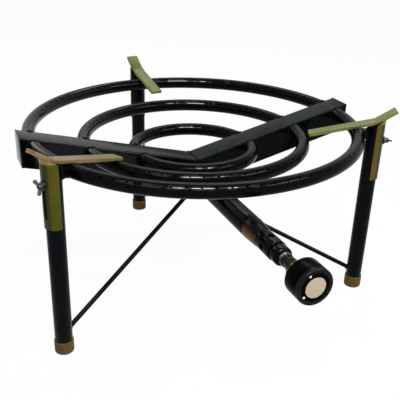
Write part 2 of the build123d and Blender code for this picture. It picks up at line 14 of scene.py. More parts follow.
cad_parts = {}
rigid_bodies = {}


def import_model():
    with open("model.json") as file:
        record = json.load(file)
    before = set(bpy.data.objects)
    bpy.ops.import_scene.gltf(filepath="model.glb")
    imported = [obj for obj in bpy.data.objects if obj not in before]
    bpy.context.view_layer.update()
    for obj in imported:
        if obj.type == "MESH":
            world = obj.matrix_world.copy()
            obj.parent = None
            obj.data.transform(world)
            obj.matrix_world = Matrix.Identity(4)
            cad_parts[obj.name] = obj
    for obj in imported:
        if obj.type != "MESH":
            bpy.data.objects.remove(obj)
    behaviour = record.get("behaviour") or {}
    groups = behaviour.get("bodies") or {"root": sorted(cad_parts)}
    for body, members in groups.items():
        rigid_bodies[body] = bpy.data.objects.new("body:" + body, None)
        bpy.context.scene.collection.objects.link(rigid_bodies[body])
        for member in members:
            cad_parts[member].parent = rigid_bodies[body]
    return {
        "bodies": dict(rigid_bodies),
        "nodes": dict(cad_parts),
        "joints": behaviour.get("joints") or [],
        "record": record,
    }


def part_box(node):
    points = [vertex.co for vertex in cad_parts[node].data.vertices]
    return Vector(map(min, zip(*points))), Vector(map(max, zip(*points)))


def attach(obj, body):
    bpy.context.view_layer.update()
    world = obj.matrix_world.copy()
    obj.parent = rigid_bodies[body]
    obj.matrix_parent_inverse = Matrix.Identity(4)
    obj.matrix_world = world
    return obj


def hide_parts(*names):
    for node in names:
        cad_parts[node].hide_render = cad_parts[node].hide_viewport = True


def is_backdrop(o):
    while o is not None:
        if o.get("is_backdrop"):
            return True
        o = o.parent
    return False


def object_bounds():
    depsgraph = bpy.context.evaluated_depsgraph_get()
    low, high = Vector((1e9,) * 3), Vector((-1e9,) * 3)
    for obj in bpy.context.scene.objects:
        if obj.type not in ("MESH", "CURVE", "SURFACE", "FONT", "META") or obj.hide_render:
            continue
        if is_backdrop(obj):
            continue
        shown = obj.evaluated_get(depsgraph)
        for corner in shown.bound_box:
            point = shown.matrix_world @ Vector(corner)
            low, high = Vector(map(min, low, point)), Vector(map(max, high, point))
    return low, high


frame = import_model()
cad_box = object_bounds()
print("frame:", len(frame["nodes"]), "nodes on", len(frame["bodies"]), "bodies")

# %% [markdown]
# Places are read from the frame, so that a new frame moves everything with it. The burner's upright axis
# passes through the brace hub, and the gas axis is the middle line of the mixing tube. Each leg has a local
# frame: X points out from the burner along its wing screw, Y across, Z up from the floor.

# %% Read places from the frame
MM = 0.001
SIDES = ("left", "right", "rear")
UP = Vector((0, 0, 1))


def middle_of(node):
    low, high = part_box(node)
    return (low + high) / 2


def span_of(node):
    low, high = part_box(node)
    return high - low


joints = {joint["name"]: joint for joint in frame["joints"]}
axis_y = middle_of("brace_hub").y
axis_place = Vector((0, axis_y, 0))
gas_height = middle_of("mixing_tube").z


def local_frame(place, x_axis, z_axis):
    """A matrix whose columns are the X, Y and Z directions of a piece and its place."""
    x = Vector(x_axis).normalized()
    z = Vector(z_axis).normalized()
    turn = Matrix((x, z.cross(x), z)).transposed().to_4x4()
    turn.translation = place
    return turn


def leg_place(side):
    spot = middle_of(f"leg_{side}")
    return Vector((spot.x, spot.y, 0))


def leg_frame(side):
    return local_frame(leg_place(side), joints[f"wing_turn_{side}"]["axis"], UP)


def radial_frame(side):
    """As the leg's frame, but X points straight out from the burner's axis."""
    spot = leg_place(side)
    return local_frame(spot, spot - axis_place, UP)


# Along the gas line, Z of the local frame runs from the burner's axis towards the knob.
gas_frame = local_frame((0, axis_y, gas_height), (1, 0, 0), (0, -1, 0))
print("burner axis at y", round(axis_y, 4), "gas axis at z", round(gas_height, 4))

# %% [markdown]
# The camera stands where the photograph's camera stood: in front, a little to the left, looking down by
# about 25 degrees, and rolled by about 2 degrees. Its place was fitted to the rings, legs and knob. A
# constraint could aim it but not roll it, so its axes are worked out from the direction it looks in.

# %% Camera
CAMERA_FROM_AXIS = Vector((-0.3769, -0.8792, 0.5889))
CAMERA_LOOK = Vector((0.3682, 0.8270, -0.4248))
CAMERA_ROLL = 0.0325
CAMERA_LENS = 57.98
CAMERA_SENSOR = 36


def in_scene(name, data):
    """A new object of the scene that holds this data."""
    made = bpy.data.objects.new(name, data)
    bpy.context.scene.collection.objects.link(made)
    return made


def add_camera():
    right = CAMERA_LOOK.cross(UP).normalized()
    above = right.cross(CAMERA_LOOK).normalized()
    rolled_right = math.cos(CAMERA_ROLL) * right + math.sin(CAMERA_ROLL) * above
    data = bpy.data.cameras.new("camera")
    data.lens = CAMERA_LENS
    data.sensor_width = CAMERA_SENSOR
    camera = in_scene("camera", data)
    camera.matrix_world = local_frame(axis_place + CAMERA_FROM_AXIS, rolled_right, -CAMERA_LOOK)
    bpy.context.scene.camera = camera
    return camera


print("camera at", [round(v, 3) for v in add_camera().location])

# %% [markdown]
# A node tree can be built with one call for each node and link, but a formula is hard to see in that. So
# shader and geometry trees are written as Python here. One class wraps a socket: its operators add Math
# nodes, and its node method adds any other node, sets its settings first and then its sockets.

# %% The wire class
class Wire:
    """A socket of a node tree, for use in expressions. With no socket it only starts new nodes."""

    def __init__(self, tree, socket=None):
        self.tree = tree
        self.socket = socket

    def node(self, kind, sockets=None, out=0, **settings):
        """One output of a new node. A socket takes a value or a wire, or several wires as a list."""
        made = self.tree.nodes.new(kind)
        for name, value in settings.items():
            setattr(made, name, value)
        for name, value in (sockets or {}).items():
            for one in value if isinstance(value, list) else [value]:
                if isinstance(one, Wire):
                    self.tree.links.new(one.socket, made.inputs[name])
                else:
                    made.inputs[name].default_value = one
        return Wire(self.tree, made.outputs[out]) if len(made.outputs) else None

    def __getitem__(self, name):
        """Another output of the node that this socket belongs to."""
        return Wire(self.tree, self.socket.node.outputs[name])

    def maths(self, operation, first, second=0.0):
        return self.node("ShaderNodeMath", {0: first, 1: second}, operation=operation)

    def measure(self, operation, first, second):
        """A number made from two vectors."""
        return self.node("ShaderNodeVectorMath", {0: first, 1: second}, "Value", operation=operation)

    def __add__(self, other):
        return self.maths("ADD", self, other)

    def __radd__(self, other):
        return self.maths("ADD", other, self)

    def __sub__(self, other):
        return self.maths("SUBTRACT", self, other)

    def __rsub__(self, other):
        return self.maths("SUBTRACT", other, self)

    def __mul__(self, other):
        return self.maths("MULTIPLY", self, other)

    def __rmul__(self, other):
        return self.maths("MULTIPLY", other, self)

    def __truediv__(self, other):
        return self.maths("DIVIDE", self, other)

    def ramp(self, low, high):
        """0 on low's side, 1 on high's side, and a smooth step between them, whichever is larger."""
        return self.node("ShaderNodeMapRange", {"Value": self, "From Min": low, "From Max": high},
                         interpolation_type="SMOOTHSTEP")

    def blend(self, first, second):
        """A colour that goes from first to second as this value goes from 0 to 1."""
        return self.node("ShaderNodeMix", {0: self, 6: first, 7: second}, 2, data_type="RGBA")


print("wire class ready")

# %% [markdown]
# Every finish starts from the same few patterns: cloudy noise at a chosen scale, noise that is stretched
# for turning marks, and how far a face looks up, where dust settles. They use Object coordinates, which
# are metres on every piece, so a pattern has its real scale without a UV map.

# %% Patterns that the finishes share
def rgb(red, green, blue):
    return (red, green, blue, 1.0)


def place_on(wires):
    return wires.node("ShaderNodeTexCoord", out="Object")


def facing(wires):
    return wires.node("ShaderNodeNewGeometry", out="Normal")


def split(vector):
    """The X of a vector. Its other outputs are Y and Z."""
    return vector.node("ShaderNodeSeparateXYZ", {0: vector})


def spots(wires, scale, detail=3.0, coarse=0.55, stretch=(1.0, 1.0, 1.0), shift=0.0):
    """Cloudy noise around 0.5, in repeats per metre. A stretch under 1 lengthens it along that axis."""
    place = wires.node("ShaderNodeMapping", {
        "Vector": place_on(wires), "Scale": stretch, "Location": (shift, shift, shift)})
    return wires.node("ShaderNodeTexNoise", {
        "Vector": place, "Scale": scale, "Detail": detail, "Roughness": coarse})


def looks_up(wires, low=0.2, high=0.95):
    """1 on faces that look up, 0 on upright and lower faces."""
    return split(facing(wires))["Z"].ramp(low, high)


def bumped(wires, height, distance, strength=1.0):
    return wires.node("ShaderNodeBump", {
        "Height": height, "Distance": distance, "Strength": strength})


def surface(wires, sockets):
    return wires.node("ShaderNodeBsdfPrincipled", sockets)


finishes = {}


def finish(slot, recipe):
    """Keeps a slot's material. Its surface is made by a recipe, which is a function of its tree's wires."""
    material = bpy.data.materials.new(slot)
    material.use_nodes = True
    material.node_tree.nodes.clear()
    wires = Wire(material.node_tree)
    wires.node("ShaderNodeOutputMaterial", {"Surface": recipe(wires)})
    finishes[slot] = material


print("patterns ready")

# %% [markdown]
# The rings, ducts and tube carry a thin black enamel. On the real burner it is glossy but not quite flat:
# it has a fine orange peel and dull patches. The faces that look up turn a lighter grey green: partly
# dust, and partly a painted sheen for the light that they reflect from above. A low specular level keeps
# upright faces deep black while faces seen at a flat angle still turn grey, as in the photograph. A gloss
# coat adds highlights. It is thin in most places and fuller at the back left, and the rings' front
# shoulders are wiped to a polish in dashes.

# %% Black enamel
COAT_LEAST = 0.05
COAT_LEFT = 0.2
COAT_SHOULDER = 0.7
SHOULDER = (-0.298, -0.673, 0.677)
duct_half = span_of("right_arm").y / 2


def gloss_coat(wires):
    """The coat's weight: thin all over, fuller at the back left, full in dashes on the rings' shoulders."""
    across = split(place_on(wires))
    from_axis = across["Y"] - axis_y
    left = across.ramp(-0.03, -0.12) * from_axis.ramp(-duct_half - 0.5 * MM, -duct_half)
    off_ducts = wires.maths("ABSOLUTE", from_axis).ramp(duct_half + 1 * MM, duct_half + 3 * MM)
    shoulder = wires.measure("DOT_PRODUCT", facing(wires), SHOULDER).ramp(0.95, 0.98)
    dashes = shoulder * off_ducts * spots(wires, 45.0, 2.0, shift=2.1).ramp(0.46, 0.54)
    return COAT_LEAST + left * (COAT_LEFT - COAT_LEAST) + dashes * COAT_SHOULDER


def enamel(colour, dust_and_sheen_colour, gloss, level, coat=None):
    """The recipe of an enamel: peel and grit as relief, dust and a painted sheen on upper faces, and dull
    worn patches.
    """
    def recipe(wires):
        clouds = spots(wires, 14.0, 4.0)
        peel = spots(wires, 420.0, 2.0)
        grit = spots(wires, 900.0, 2.0).ramp(0.62, 0.72)
        # Faces that look up turn a lighter grey green: partly dust, partly a painted sheen for the reflection
        # on top.
        dust_and_sheen = looks_up(wires, 0.92, 0.968) * clouds.ramp(0.2, 0.62)
        worn = spots(wires, 60.0, 5.0, 0.65, shift=0.31).ramp(0.66, 0.74)
        tone = (dust_and_sheen * 0.8 + worn * 0.15 + grit * 0.06).blend(colour, dust_and_sheen_colour)
        rough = gloss + clouds * 0.08 + dust_and_sheen * 0.1 + worn * 0.15
        return surface(wires, {
            "Base Color": tone, "Roughness": rough, "Specular IOR Level": level,
            "Normal": bumped(wires, peel + grit * 0.6, 0.00012, 0.6),
            "Coat Weight": coat(wires) if coat else 0.0, "Coat Roughness": 0.1})
    return recipe


finish("black_enamel", enamel(
    rgb(0.001, 0.0017, 0.0016), rgb(0.016, 0.021, 0.02), 0.12, 0.022, gloss_coat))
finish("leg_enamel", enamel(rgb(0.0012, 0.0016, 0.003), rgb(0.005, 0.006, 0.008), 0.14, 0.05))
print("enamels:", *finishes)

# %% [markdown]
# The rests and their sliders are zinc plated and passivated yellow. The film is thin, so its colour drifts:
# a pinkish tan near the left leg, pale yellow green where the disc rubs, and greener on the rear rest. The
# sliders are a darker olive gold: partly their own tone, and partly painted shade for their upright faces.
# Painted shade also darkens the bars' upper faces and the sliders' outer sides. This could be painted by
# hand, but masks worked out from the distance to the burner's axis, the side and some noise still fit when
# a mesh changes.

# %% Yellow zinc
BEND_HEIGHT = 0.29
SLIDER_FROM_AXIS = 0.272
RUBBED_TO = (0.172, 0.205)
LEG_OUT_X = 0.887
LEG_OUT_Y = -0.462
# Colours of painted shade: on the bars' upper faces and on the sliders' outer sides.
BAR_TOP_SHADE_SHARE = 0.42
BAR_TOP_SHADE = rgb(0.03, 0.03, 0.008)
SLIDER_SIDE_SHADE = rgb(0.035, 0.034, 0.008)
STAIN = rgb(0.05, 0.042, 0.012)


def yellow_zinc_recipe(wires):
    across = split(place_on(wires))
    from_axis = wires.measure("DISTANCE", place_on(wires), (0.0, axis_y, BEND_HEIGHT))
    film = spots(wires, 45.0, 4.0, 0.6, shift=0.7).ramp(0.35, 0.65)
    drift = spots(wires, 16.0, 3.0)
    stain = spots(wires, 90.0, 5.0, 0.7, shift=1.3).ramp(0.55, 0.72)
    leftward = across.ramp(0.05, -0.05)
    behind = across["Y"].ramp(axis_y, axis_y + 0.2)
    rubbed = film.blend(rgb(0.25, 0.27, 0.045), rgb(0.27, 0.25, 0.045))
    tanned = leftward.blend(film.blend(rgb(0.17, 0.19, 0.045), rgb(0.22, 0.21, 0.07)),
                            film.blend(rgb(0.27, 0.195, 0.08), rgb(0.31, 0.2, 0.11)))
    bar = (from_axis + (drift - 0.5) * 0.06).ramp(*RUBBED_TO).blend(rubbed, tanned)
    bar = (behind * 0.75).blend(bar, film.blend(rgb(0.11, 0.15, 0.018), rgb(0.17, 0.21, 0.035)))
    # Painted shade: the bars' upper faces are darkened where the light falls on them most.
    bar = (looks_up(wires) * BAR_TOP_SHADE_SHARE).blend(bar, BAR_TOP_SHADE)
    # The sliders' darker tone: partly their own, partly painted shade for their upright faces.
    sheet = leftward.blend(film.blend(rgb(0.105, 0.076, 0.014), rgb(0.125, 0.08, 0.016)),
                           film.blend(rgb(0.067, 0.077, 0.007), rgb(0.09, 0.079, 0.01)))
    on_sheet = from_axis.ramp(SLIDER_FROM_AXIS, SLIDER_FROM_AXIS + 3 * MM)
    on_sheet = on_sheet * (BEND_HEIGHT - across["Z"]).ramp(0, 3 * MM)
    # Painted shade on the sliders' outer sides, which face away from the light.
    side_on = split(facing(wires))
    outward = side_on * (LEG_OUT_X - leftward * (2 * LEG_OUT_X)) + side_on["Y"] * LEG_OUT_Y
    side_shaded = (outward - leftward * 0.3).ramp(0.45, 0.65)
    tone = on_sheet.blend(bar, side_shaded.blend(sheet, SLIDER_SIDE_SHADE))
    return surface(wires, {
        "Base Color": (stain * 0.4).blend(tone, STAIN), "Metallic": 0.6 - behind * 0.45,
        "Roughness": 0.34 + film * 0.1 + stain * 0.1, "Specular IOR Level": 0.15})


finish("yellow_zinc", yellow_zinc_recipe)
print("enamels and plating:", *finishes)

# %% [markdown]
# The small metal parts: zinc gone dull on the wing screws and washers, tap brass that heat has darkened up
# to the bonnet, a pale band on the upper side beside the nut that is partly bare brass and partly a painted
# highlight, and a dark collar whose coating has burnt through to a coppery patch low on its left.

# %% Zinc, brass and collar
HEAT_TO = (0.328, 0.316)
HIGHLIGHT_FROM_NUT = (6.5 * MM, 5 * MM)


def zinc_recipe(wires):
    cast = spots(wires, 120.0, 4.0)
    grime = spots(wires, 45.0, 4.0, shift=0.4).ramp(0.45, 0.75)
    tone = grime.blend(rgb(0.07, 0.07, 0.068), rgb(0.018, 0.017, 0.016))
    return surface(wires, {
        "Base Color": tone, "Metallic": 0.85, "Roughness": 0.32 + cast * 0.2,
        "Normal": bumped(wires, cast, 0.0001, 0.5)})


def brass_recipe(wires):
    along = split(place_on(wires))["Y"]
    tarnish = spots(wires, 70.0, 5.0, 0.6, shift=0.9).ramp(0.4, 0.7)
    turning = spots(wires, 700.0, 2.0, stretch=(0.05, 1.0, 0.05))
    heat = (along + (tarnish - 0.5) * 0.008).ramp(axis_y - HEAT_TO[0], axis_y - HEAT_TO[1])
    bright = tarnish.blend(rgb(0.4, 0.26, 0.11), rgb(0.22, 0.12, 0.05))
    tone = heat.blend(bright, tarnish.blend(rgb(0.014, 0.008, 0.005), rgb(0.008, 0.005, 0.004)))
    nut_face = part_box("tap_nut")[0].y
    # A pale band beside the nut, only on its upper side: partly bare brass, partly a painted highlight.
    bare_and_highlight = along.ramp(nut_face - HIGHLIGHT_FROM_NUT[0], nut_face - HIGHLIGHT_FROM_NUT[1]) * looks_up(wires, 0.1, 0.6)
    tone = bare_and_highlight.blend(tone, rgb(0.13, 0.127, 0.098))
    return surface(wires, {
        "Base Color": tone, "Metallic": 0.9, "Roughness": 0.24 + tarnish * 0.25,
        "Normal": bumped(wires, turning, 0.00005, 0.5)})


def collar_recipe(wires):
    across = split(place_on(wires))
    ragged = spots(wires, 50.0, 5.0, 0.6, shift=0.5)
    down_left = -0.7 * across + 0.7 * (gas_height - across["Z"])
    burnt = (down_left + (ragged - 0.5) * 0.012).ramp(0.001, 0.01)
    tone = burnt.blend(rgb(0.003, 0.003, 0.003), rgb(0.1, 0.058, 0.012))
    tone = (burnt * ragged.ramp(0.45, 0.62)).blend(tone, rgb(0.055, 0.018, 0.009))
    return surface(wires, {
        "Base Color": tone, "Metallic": burnt * 0.4, "Roughness": 0.2 + ragged * 0.2,
        "Specular IOR Level": 0.05, "Normal": bumped(wires, ragged, 0.0002, 0.4)})


finish("zinc_steel", zinc_recipe)
finish("tap_brass", brass_recipe)
finish("collar_enamel", collar_recipe)
print("finishes with the small metal parts:", len(finishes))

# %% [markdown]
# The knob is moulded black plastic, polished by fingers at its front rim, with a cream disc in its face.
# The feet are tan plastic caps scuffed by floors, and the packing is dull rubber. All have fine grain and
# small changes of tone, so one recipe makes them from two colours, a gloss and a grain.

# %% Plastics
RIM_POLISH = 0.25


def rim_polish(wires):
    """The coat's weight on the knob: only its rounded front rim is rubbed to a polish."""
    from_face = wires.measure("DISTANCE", place_on(wires), (0.0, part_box("knob")[0].y, gas_height))
    rim = span_of("knob").x / 2
    on_rim = from_face.ramp(rim - 6 * MM, rim - 5 * MM) * (rim + 1 * MM - from_face).ramp(0.0, 1 * MM)
    return on_rim * RIM_POLISH


def plastic(colour, scuffed, gloss, grain, level=0.4, coat=None):
    """The recipe of a plastic: fine grain as relief, and clouds and rubbed spots in the tone."""
    def recipe(wires):
        fine = spots(wires, 600.0, 2.0)
        cloud = spots(wires, 60.0, 4.0, 0.6, shift=0.6)
        rub = spots(wires, 180.0, 4.0, 0.7, shift=1.1).ramp(0.55, 0.75)
        tone = (cloud * 0.35 + rub * 0.45).blend(colour, scuffed)
        return surface(wires, {
            "Base Color": tone, "Roughness": gloss + cloud * 0.12 + rub * 0.1,
            "Specular IOR Level": level, "Normal": bumped(wires, fine, grain, 0.5),
            "Coat Weight": coat(wires) if coat else 0.0, "Coat Roughness": 0.3})
    return recipe


finish("knob_black", plastic(
    rgb(0.0007, 0.0009, 0.001), rgb(0.002, 0.002, 0.0025), 0.16, 0.00005, 0.012, rim_polish))
finish("knob_cream", plastic(rgb(0.49, 0.4, 0.28), rgb(0.41, 0.325, 0.235), 0.45, 0.00004))
finish("knob_white", plastic(rgb(0.8, 0.78, 0.74), rgb(0.62, 0.6, 0.56), 0.4, 0.00004))
finish("foot_tan", plastic(rgb(0.12, 0.066, 0.018), rgb(0.05, 0.027, 0.009), 0.45, 0.0001, 0.12))
finish("packing", plastic(rgb(0.02, 0.02, 0.02), rgb(0.035, 0.034, 0.032), 0.6, 0.0001))
print("finishes:", *finishes)

# %% [markdown]
# Before anything is remade, every CAD node gets the finish of its own slot. The pieces inside, such as the
# jet, the tap's plug and the nuts in the legs, keep their CAD shape and only need this.

# %% Finish the CAD nodes
slot_of = {part["node"]: part["material_slot"] for part in frame["record"]["subparts"]}
groups = frame["record"]["behaviour"]["bodies"]
body_of = {node: body for body, members in groups.items() for node in members}
for node_name, node_object in frame["nodes"].items():
    node_object.data.materials.clear()
    node_object.data.materials.append(finishes[slot_of[node_name]])
print("CAD nodes finished:", len(slot_of))

# %% [markdown]
# Most pieces here are turned, drawn or cut from plate, so two small makers cover them: a profile swept
# round an axis, and an outline with rounded corners pushed to a thickness with softened edges. The Screw and
# Solidify modifiers could do this too, but mesh code says plainly where each point lies.

# %% Makers for turned and plate pieces
SMOOTH_ANGLE = math.radians(32)


def rounded(points, radii, steps=5, closed=True):
    """The outline through these points, with an arc of the given radius at each corner."""
    outline = []
    count = len(points)
    for i, radius in enumerate(radii):
        here = Vector(points[i])
        if radius <= 0 or (not closed and i in (0, count - 1)):
            outline.append(here)
            continue
        to_last = (Vector(points[i - 1]) - here).normalized()
        to_next = (Vector(points[(i + 1) % count]) - here).normalized()
        half = to_last.angle(to_next) / 2
        centre = here + (to_last + to_next).normalized() * (radius / math.sin(half))
        start = here + to_last * (radius / math.tan(half)) - centre
        sweep = (math.pi - 2 * half) * (1 if to_last.cross(to_next) < 0 else -1)
        for step in range(steps + 1):
            outline.append(centre + Matrix.Rotation(sweep * step / steps, 2) @ start)
    return outline


def smoothed(mesh):
    """Smooth faces, with sharp edges where the surface folds."""
    mesh.shade_smooth()
    mesh.set_sharp_from_angle(angle=SMOOTH_ANGLE)
    return mesh


def mesh_from(bm, matrix=Matrix()):
    """Turns a bmesh into a smooth mesh with its normals outwards."""
    bmesh.ops.remove_doubles(bm, verts=bm.verts, dist=1e-7)
    bmesh.ops.recalc_face_normals(bm, faces=bm.faces)
    mesh = bpy.data.meshes.new("shape")
    bm.to_mesh(mesh)
    bm.free()
    mesh.transform(matrix)
    return smoothed(mesh)


def turned(profile, matrix, sides=72):
    """A profile of (radius, height) points swept round local Z. It closes on itself, or on the axis."""
    bm = bmesh.new()
    hoops = []
    for radius, height in profile:
        ends = 1 if radius < 1e-7 else sides
        turns = [math.tau * i / sides for i in range(ends)]
        hoops.append([bm.verts.new((radius * math.cos(t), radius * math.sin(t), height)) for t in turns])
    hollow = len(hoops[0]) > 1
    for first, second in zip(hoops, hoops[1:] + hoops[:1] if hollow else hoops[1:]):
        for i in range(sides):
            j = (i + 1) % sides
            corners = [hoop[k % len(hoop)] for hoop, k in ((first, i), (first, j), (second, j), (second, i))]
            corners = list(dict.fromkeys(corners))
            if len(corners) > 2:
                bm.faces.new(corners)
    return mesh_from(bm, matrix)


def is_sharp(edge):
    return edge.calc_face_angle(0) > SMOOTH_ANGLE


def plate(outline, thickness, soften, matrix, chosen=is_sharp, segments=3):
    """An outline in local X and Z, pushed evenly both ways along Y, with its chosen edges softened."""
    bm = bmesh.new()
    near = [bm.verts.new((p[0], -thickness / 2, p[1])) for p in outline]
    far = [bm.verts.new((p[0], thickness / 2, p[1])) for p in outline]
    bm.faces.new(near)
    bm.faces.new(far[::-1])
    for i in range(len(outline)):
        j = (i + 1) % len(outline)
        bm.faces.new((near[i], near[j], far[j], far[i]))
    bmesh.ops.recalc_face_normals(bm, faces=bm.faces)
    edges = [e for e in bm.edges if chosen(e)]
    bmesh.ops.bevel(bm, geom=edges, offset=soften, segments=segments, profile=0.5, affect="EDGES",
                    clamp_overlap=True)
    return mesh_from(bm, matrix)


print("makers ready")

# %% [markdown]
# Drilled pieces and castings start from meshes that are made already. Modifiers do the hard part on a
# carrier object: a Boolean cuts one mesh out of another, and a voxel Remesh melts crossing solids into one
# skin. The result is kept as a plain mesh, so no modifier is left on a finished piece.

# %% Cut, join and cast meshes
def evaluated(mesh, add_modifiers):
    """The mesh after some modifiers, as a plain mesh."""
    carrier = in_scene("carrier", mesh)
    add_modifiers(carrier)
    result = bpy.data.meshes.new_from_object(carrier.evaluated_get(bpy.context.evaluated_depsgraph_get()))
    bpy.data.objects.remove(carrier)
    return result


def cut(mesh, cutter):
    """The first mesh, less the second."""
    tool = in_scene("tool", cutter)

    def add_modifiers(carrier):
        boolean = carrier.modifiers.new("cut", "BOOLEAN")
        boolean.operation = "DIFFERENCE"
        boolean.solver = "EXACT"
        boolean.object = tool

    result = evaluated(mesh, add_modifiers)
    bpy.data.objects.remove(tool)
    return smoothed(result)


def joined(meshes):
    """Several meshes as one, without merging them."""
    bm = bmesh.new()
    for mesh in meshes:
        bm.from_mesh(mesh)
    result = bpy.data.meshes.new("joined")
    bm.to_mesh(result)
    bm.free()
    return result


def cast(mesh, grain):
    """Melts a mesh of crossing solids into one skin with soft inner corners, as a casting has."""
    def add_modifiers(carrier):
        remesh = carrier.modifiers.new("skin", "REMESH")
        remesh.mode = "VOXEL"
        remesh.voxel_size = grain
        smooth = carrier.modifiers.new("soften", "SMOOTH")
        smooth.factor = 0.5
        smooth.iterations = 3

    result = evaluated(mesh, add_modifiers)
    result.shade_smooth()
    return result


print("mesh tools ready")

# %% [markdown]
# Each finished mesh becomes a piece in one place, so that nothing is forgotten: its finish, the CAD node
# that it stands for, and the body that it moves with. The record knows the slot and the body of each node.

# %% Dress a piece
def dress(name, mesh, node=None, slot=None, body=None):
    """Puts a mesh in the scene. It stands for a CAD node, or it only adds to a body, with a slot's finish."""
    slot = slot or slot_of[node]
    body = body or body_of[node]
    mesh.name = name
    mesh.materials.clear()
    mesh.materials.append(finishes[slot])
    piece = in_scene(name, mesh)
    if node:
        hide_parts(node)
    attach(piece, body)
    print("made", name, "with", len(mesh.polygons), "faces on", body)


print("nodes with a body:", len(body_of))

# %% [markdown]
# Geometry Nodes trees make what repeats: the drilled rings, the rows of weld scales and the threads. This
# helper runs a tree on a base mesh with its named sizes and keeps the result as a plain mesh.

# %% Run a geometry tree
def new_tree(name, inputs):
    """An empty geometry tree with a geometry input, named size inputs and a material input."""
    tree = bpy.data.node_groups.new(name, "GeometryNodeTree")
    tree.interface.new_socket("Geometry", in_out="INPUT", socket_type="NodeSocketGeometry")
    for size_name, kind in inputs.items():
        tree.interface.new_socket(size_name, in_out="INPUT", socket_type=f"NodeSocket{kind}")
    tree.interface.new_socket("Material", in_out="INPUT", socket_type="NodeSocketMaterial")
    tree.interface.new_socket("Geometry", in_out="OUTPUT", socket_type="NodeSocketGeometry")
    wires = Wire(tree)
    return tree, wires, wires.node("NodeGroupInput")


def close_tree(wires, entry, shape):
    """Ends a tree: instances become real, and the material is set."""
    real = wires.node("GeometryNodeRealizeInstances", {"Geometry": shape})
    dressed = wires.node("GeometryNodeSetMaterial", {
        "Geometry": real, "Material": entry["Material"]})
    wires.node("NodeGroupOutput", {"Geometry": dressed})


def smooth_shaded(wires, shape, angle):
    """Smooth faces, with sharp edges where two faces meet at more than an angle."""
    fold = wires.node("GeometryNodeInputMeshEdgeAngle", out="Unsigned Angle")
    soft = wires.node("FunctionNodeCompare", {0: fold, 1: angle}, data_type="FLOAT", operation="LESS_THAN")
    for domain, smooth in (("FACE", True), ("EDGE", soft)):
        shape = wires.node("GeometryNodeSetShadeSmooth", {"Geometry": shape, "Shade Smooth": smooth},
                           domain=domain)
    return shape


def run_tree(tree, slot, base=None, **sizes):
    """The mesh that a tree makes with a slot's finish and named sizes, from a base mesh if it follows one."""
    named = {name.replace("_", " ").capitalize(): value for name, value in sizes.items()}
    named["Material"] = finishes[slot]

    def add_modifiers(carrier):
        modifier = carrier.modifiers.new("shape", "NODES")
        modifier.node_group = tree
        for item in tree.interface.items_tree:
            if item.in_out == "INPUT" and item.name in named:
                modifier[item.identifier] = named.pop(item.name)

    result = evaluated(base or bpy.data.meshes.new("empty"), add_modifiers)
    assert not named, f"{tree.name} has no input for {sorted(named)}"
    return result


def path_mesh(paths):
    """Polylines as a mesh of bare edges, for a tree to follow. Each path is (points, closed)."""
    points = []
    edges = []
    for path, closed in paths:
        first = len(points)
        points += [tuple(p) for p in path]
        edges += [(first + i, first + i + 1) for i in range(len(path) - 1)]
        if closed:
            edges.append((len(points) - 1, first))
    mesh = bpy.data.meshes.new("paths")
    mesh.from_pydata(points, edges, [])
    return mesh


print("tree helpers ready")

# %% [markdown]
# Each ring is two half rings of 20 mm tube let into the ducts' walls, with two staggered rows of flame
# ports on its upper shoulders. The tree sweeps a circle along an arc and drills it with one cylinder for
# each port, so the ports are real holes that also break up the highlights.

# %% Rings
PORT_RADIUS = 1.5 * MM
PORT_DEPTH = 7 * MM
PORT_PITCH = 18 * MM
PORT_SETBACK = 12 * MM
PORT_LEAN = math.radians(45)
RING_INTO_DUCT = 3 * MM


def drilled_ring_tree():
    tree, wires, entry = new_tree("drilled_ring", {
        "Ring radius": "Float", "Tube radius": "Float", "Start": "Float", "Sweep": "Float",
        "Port start": "Float", "Port step": "Float", "Ports": "Int", "Port lean": "Float",
        "Port radius": "Float", "Port depth": "Float", "Place": "Vector"})
    arc = wires.node("GeometryNodeCurveArc", {
        "Resolution": 180, "Radius": entry["Ring radius"], "Start Angle": entry["Start"],
        "Sweep Angle": entry["Sweep"]}, mode="RADIUS")
    section = wires.node("GeometryNodeCurvePrimitiveCircle", {
        "Resolution": 40, "Radius": entry["Tube radius"]}, mode="RADIUS")
    tube = wires.node("GeometryNodeCurveToMesh", {
        "Curve": arc, "Profile Curve": section, "Fill Caps": True})
    bit = wires.node("GeometryNodeMeshCylinder", {
        "Vertices": 14, "Radius": entry["Port radius"], "Depth": entry["Port depth"]})
    rise = wires.node("ShaderNodeCombineXYZ", {"Z": entry["Tube radius"]})
    bit = wires.node("GeometryNodeTransform", {"Geometry": bit, "Translation": rise})
    across = split(wires.node("GeometryNodeInputPosition"))
    turn = wires.maths("ARCTAN2", across["Y"], across)
    rows = []
    for side, first, fewer in ((1.0, 0.0, 0.0), (-1.0, 0.5, 1.0)):
        count = entry["Ports"] - fewer
        step = entry["Port step"]
        row = wires.node("GeometryNodeCurveArc", {
            "Resolution": count, "Radius": entry["Ring radius"], "Sweep Angle": step * (count - 1.0),
            "Start Angle": entry["Port start"] + step * first}, mode="RADIUS")
        lean = wires.node("ShaderNodeCombineXYZ", {"Y": entry["Port lean"] * side, "Z": turn})
        lean = wires.node("FunctionNodeEulerToRotation", {"Euler": lean})
        drills = wires.node("GeometryNodeInstanceOnPoints", {
            "Points": row, "Instance": bit, "Rotation": lean})
        rows.append(wires.node("GeometryNodeRealizeInstances", {"Geometry": drills}))
    holed = wires.node("GeometryNodeMeshBoolean", {"Mesh 1": tube, "Mesh 2": rows},
                       operation="DIFFERENCE", solver="EXACT")
    shape = wires.node("GeometryNodeTransform", {
        "Geometry": holed, "Translation": entry["Place"]})
    close_tree(wires, entry, smooth_shaded(wires, shape, SMOOTH_ANGLE))
    return tree


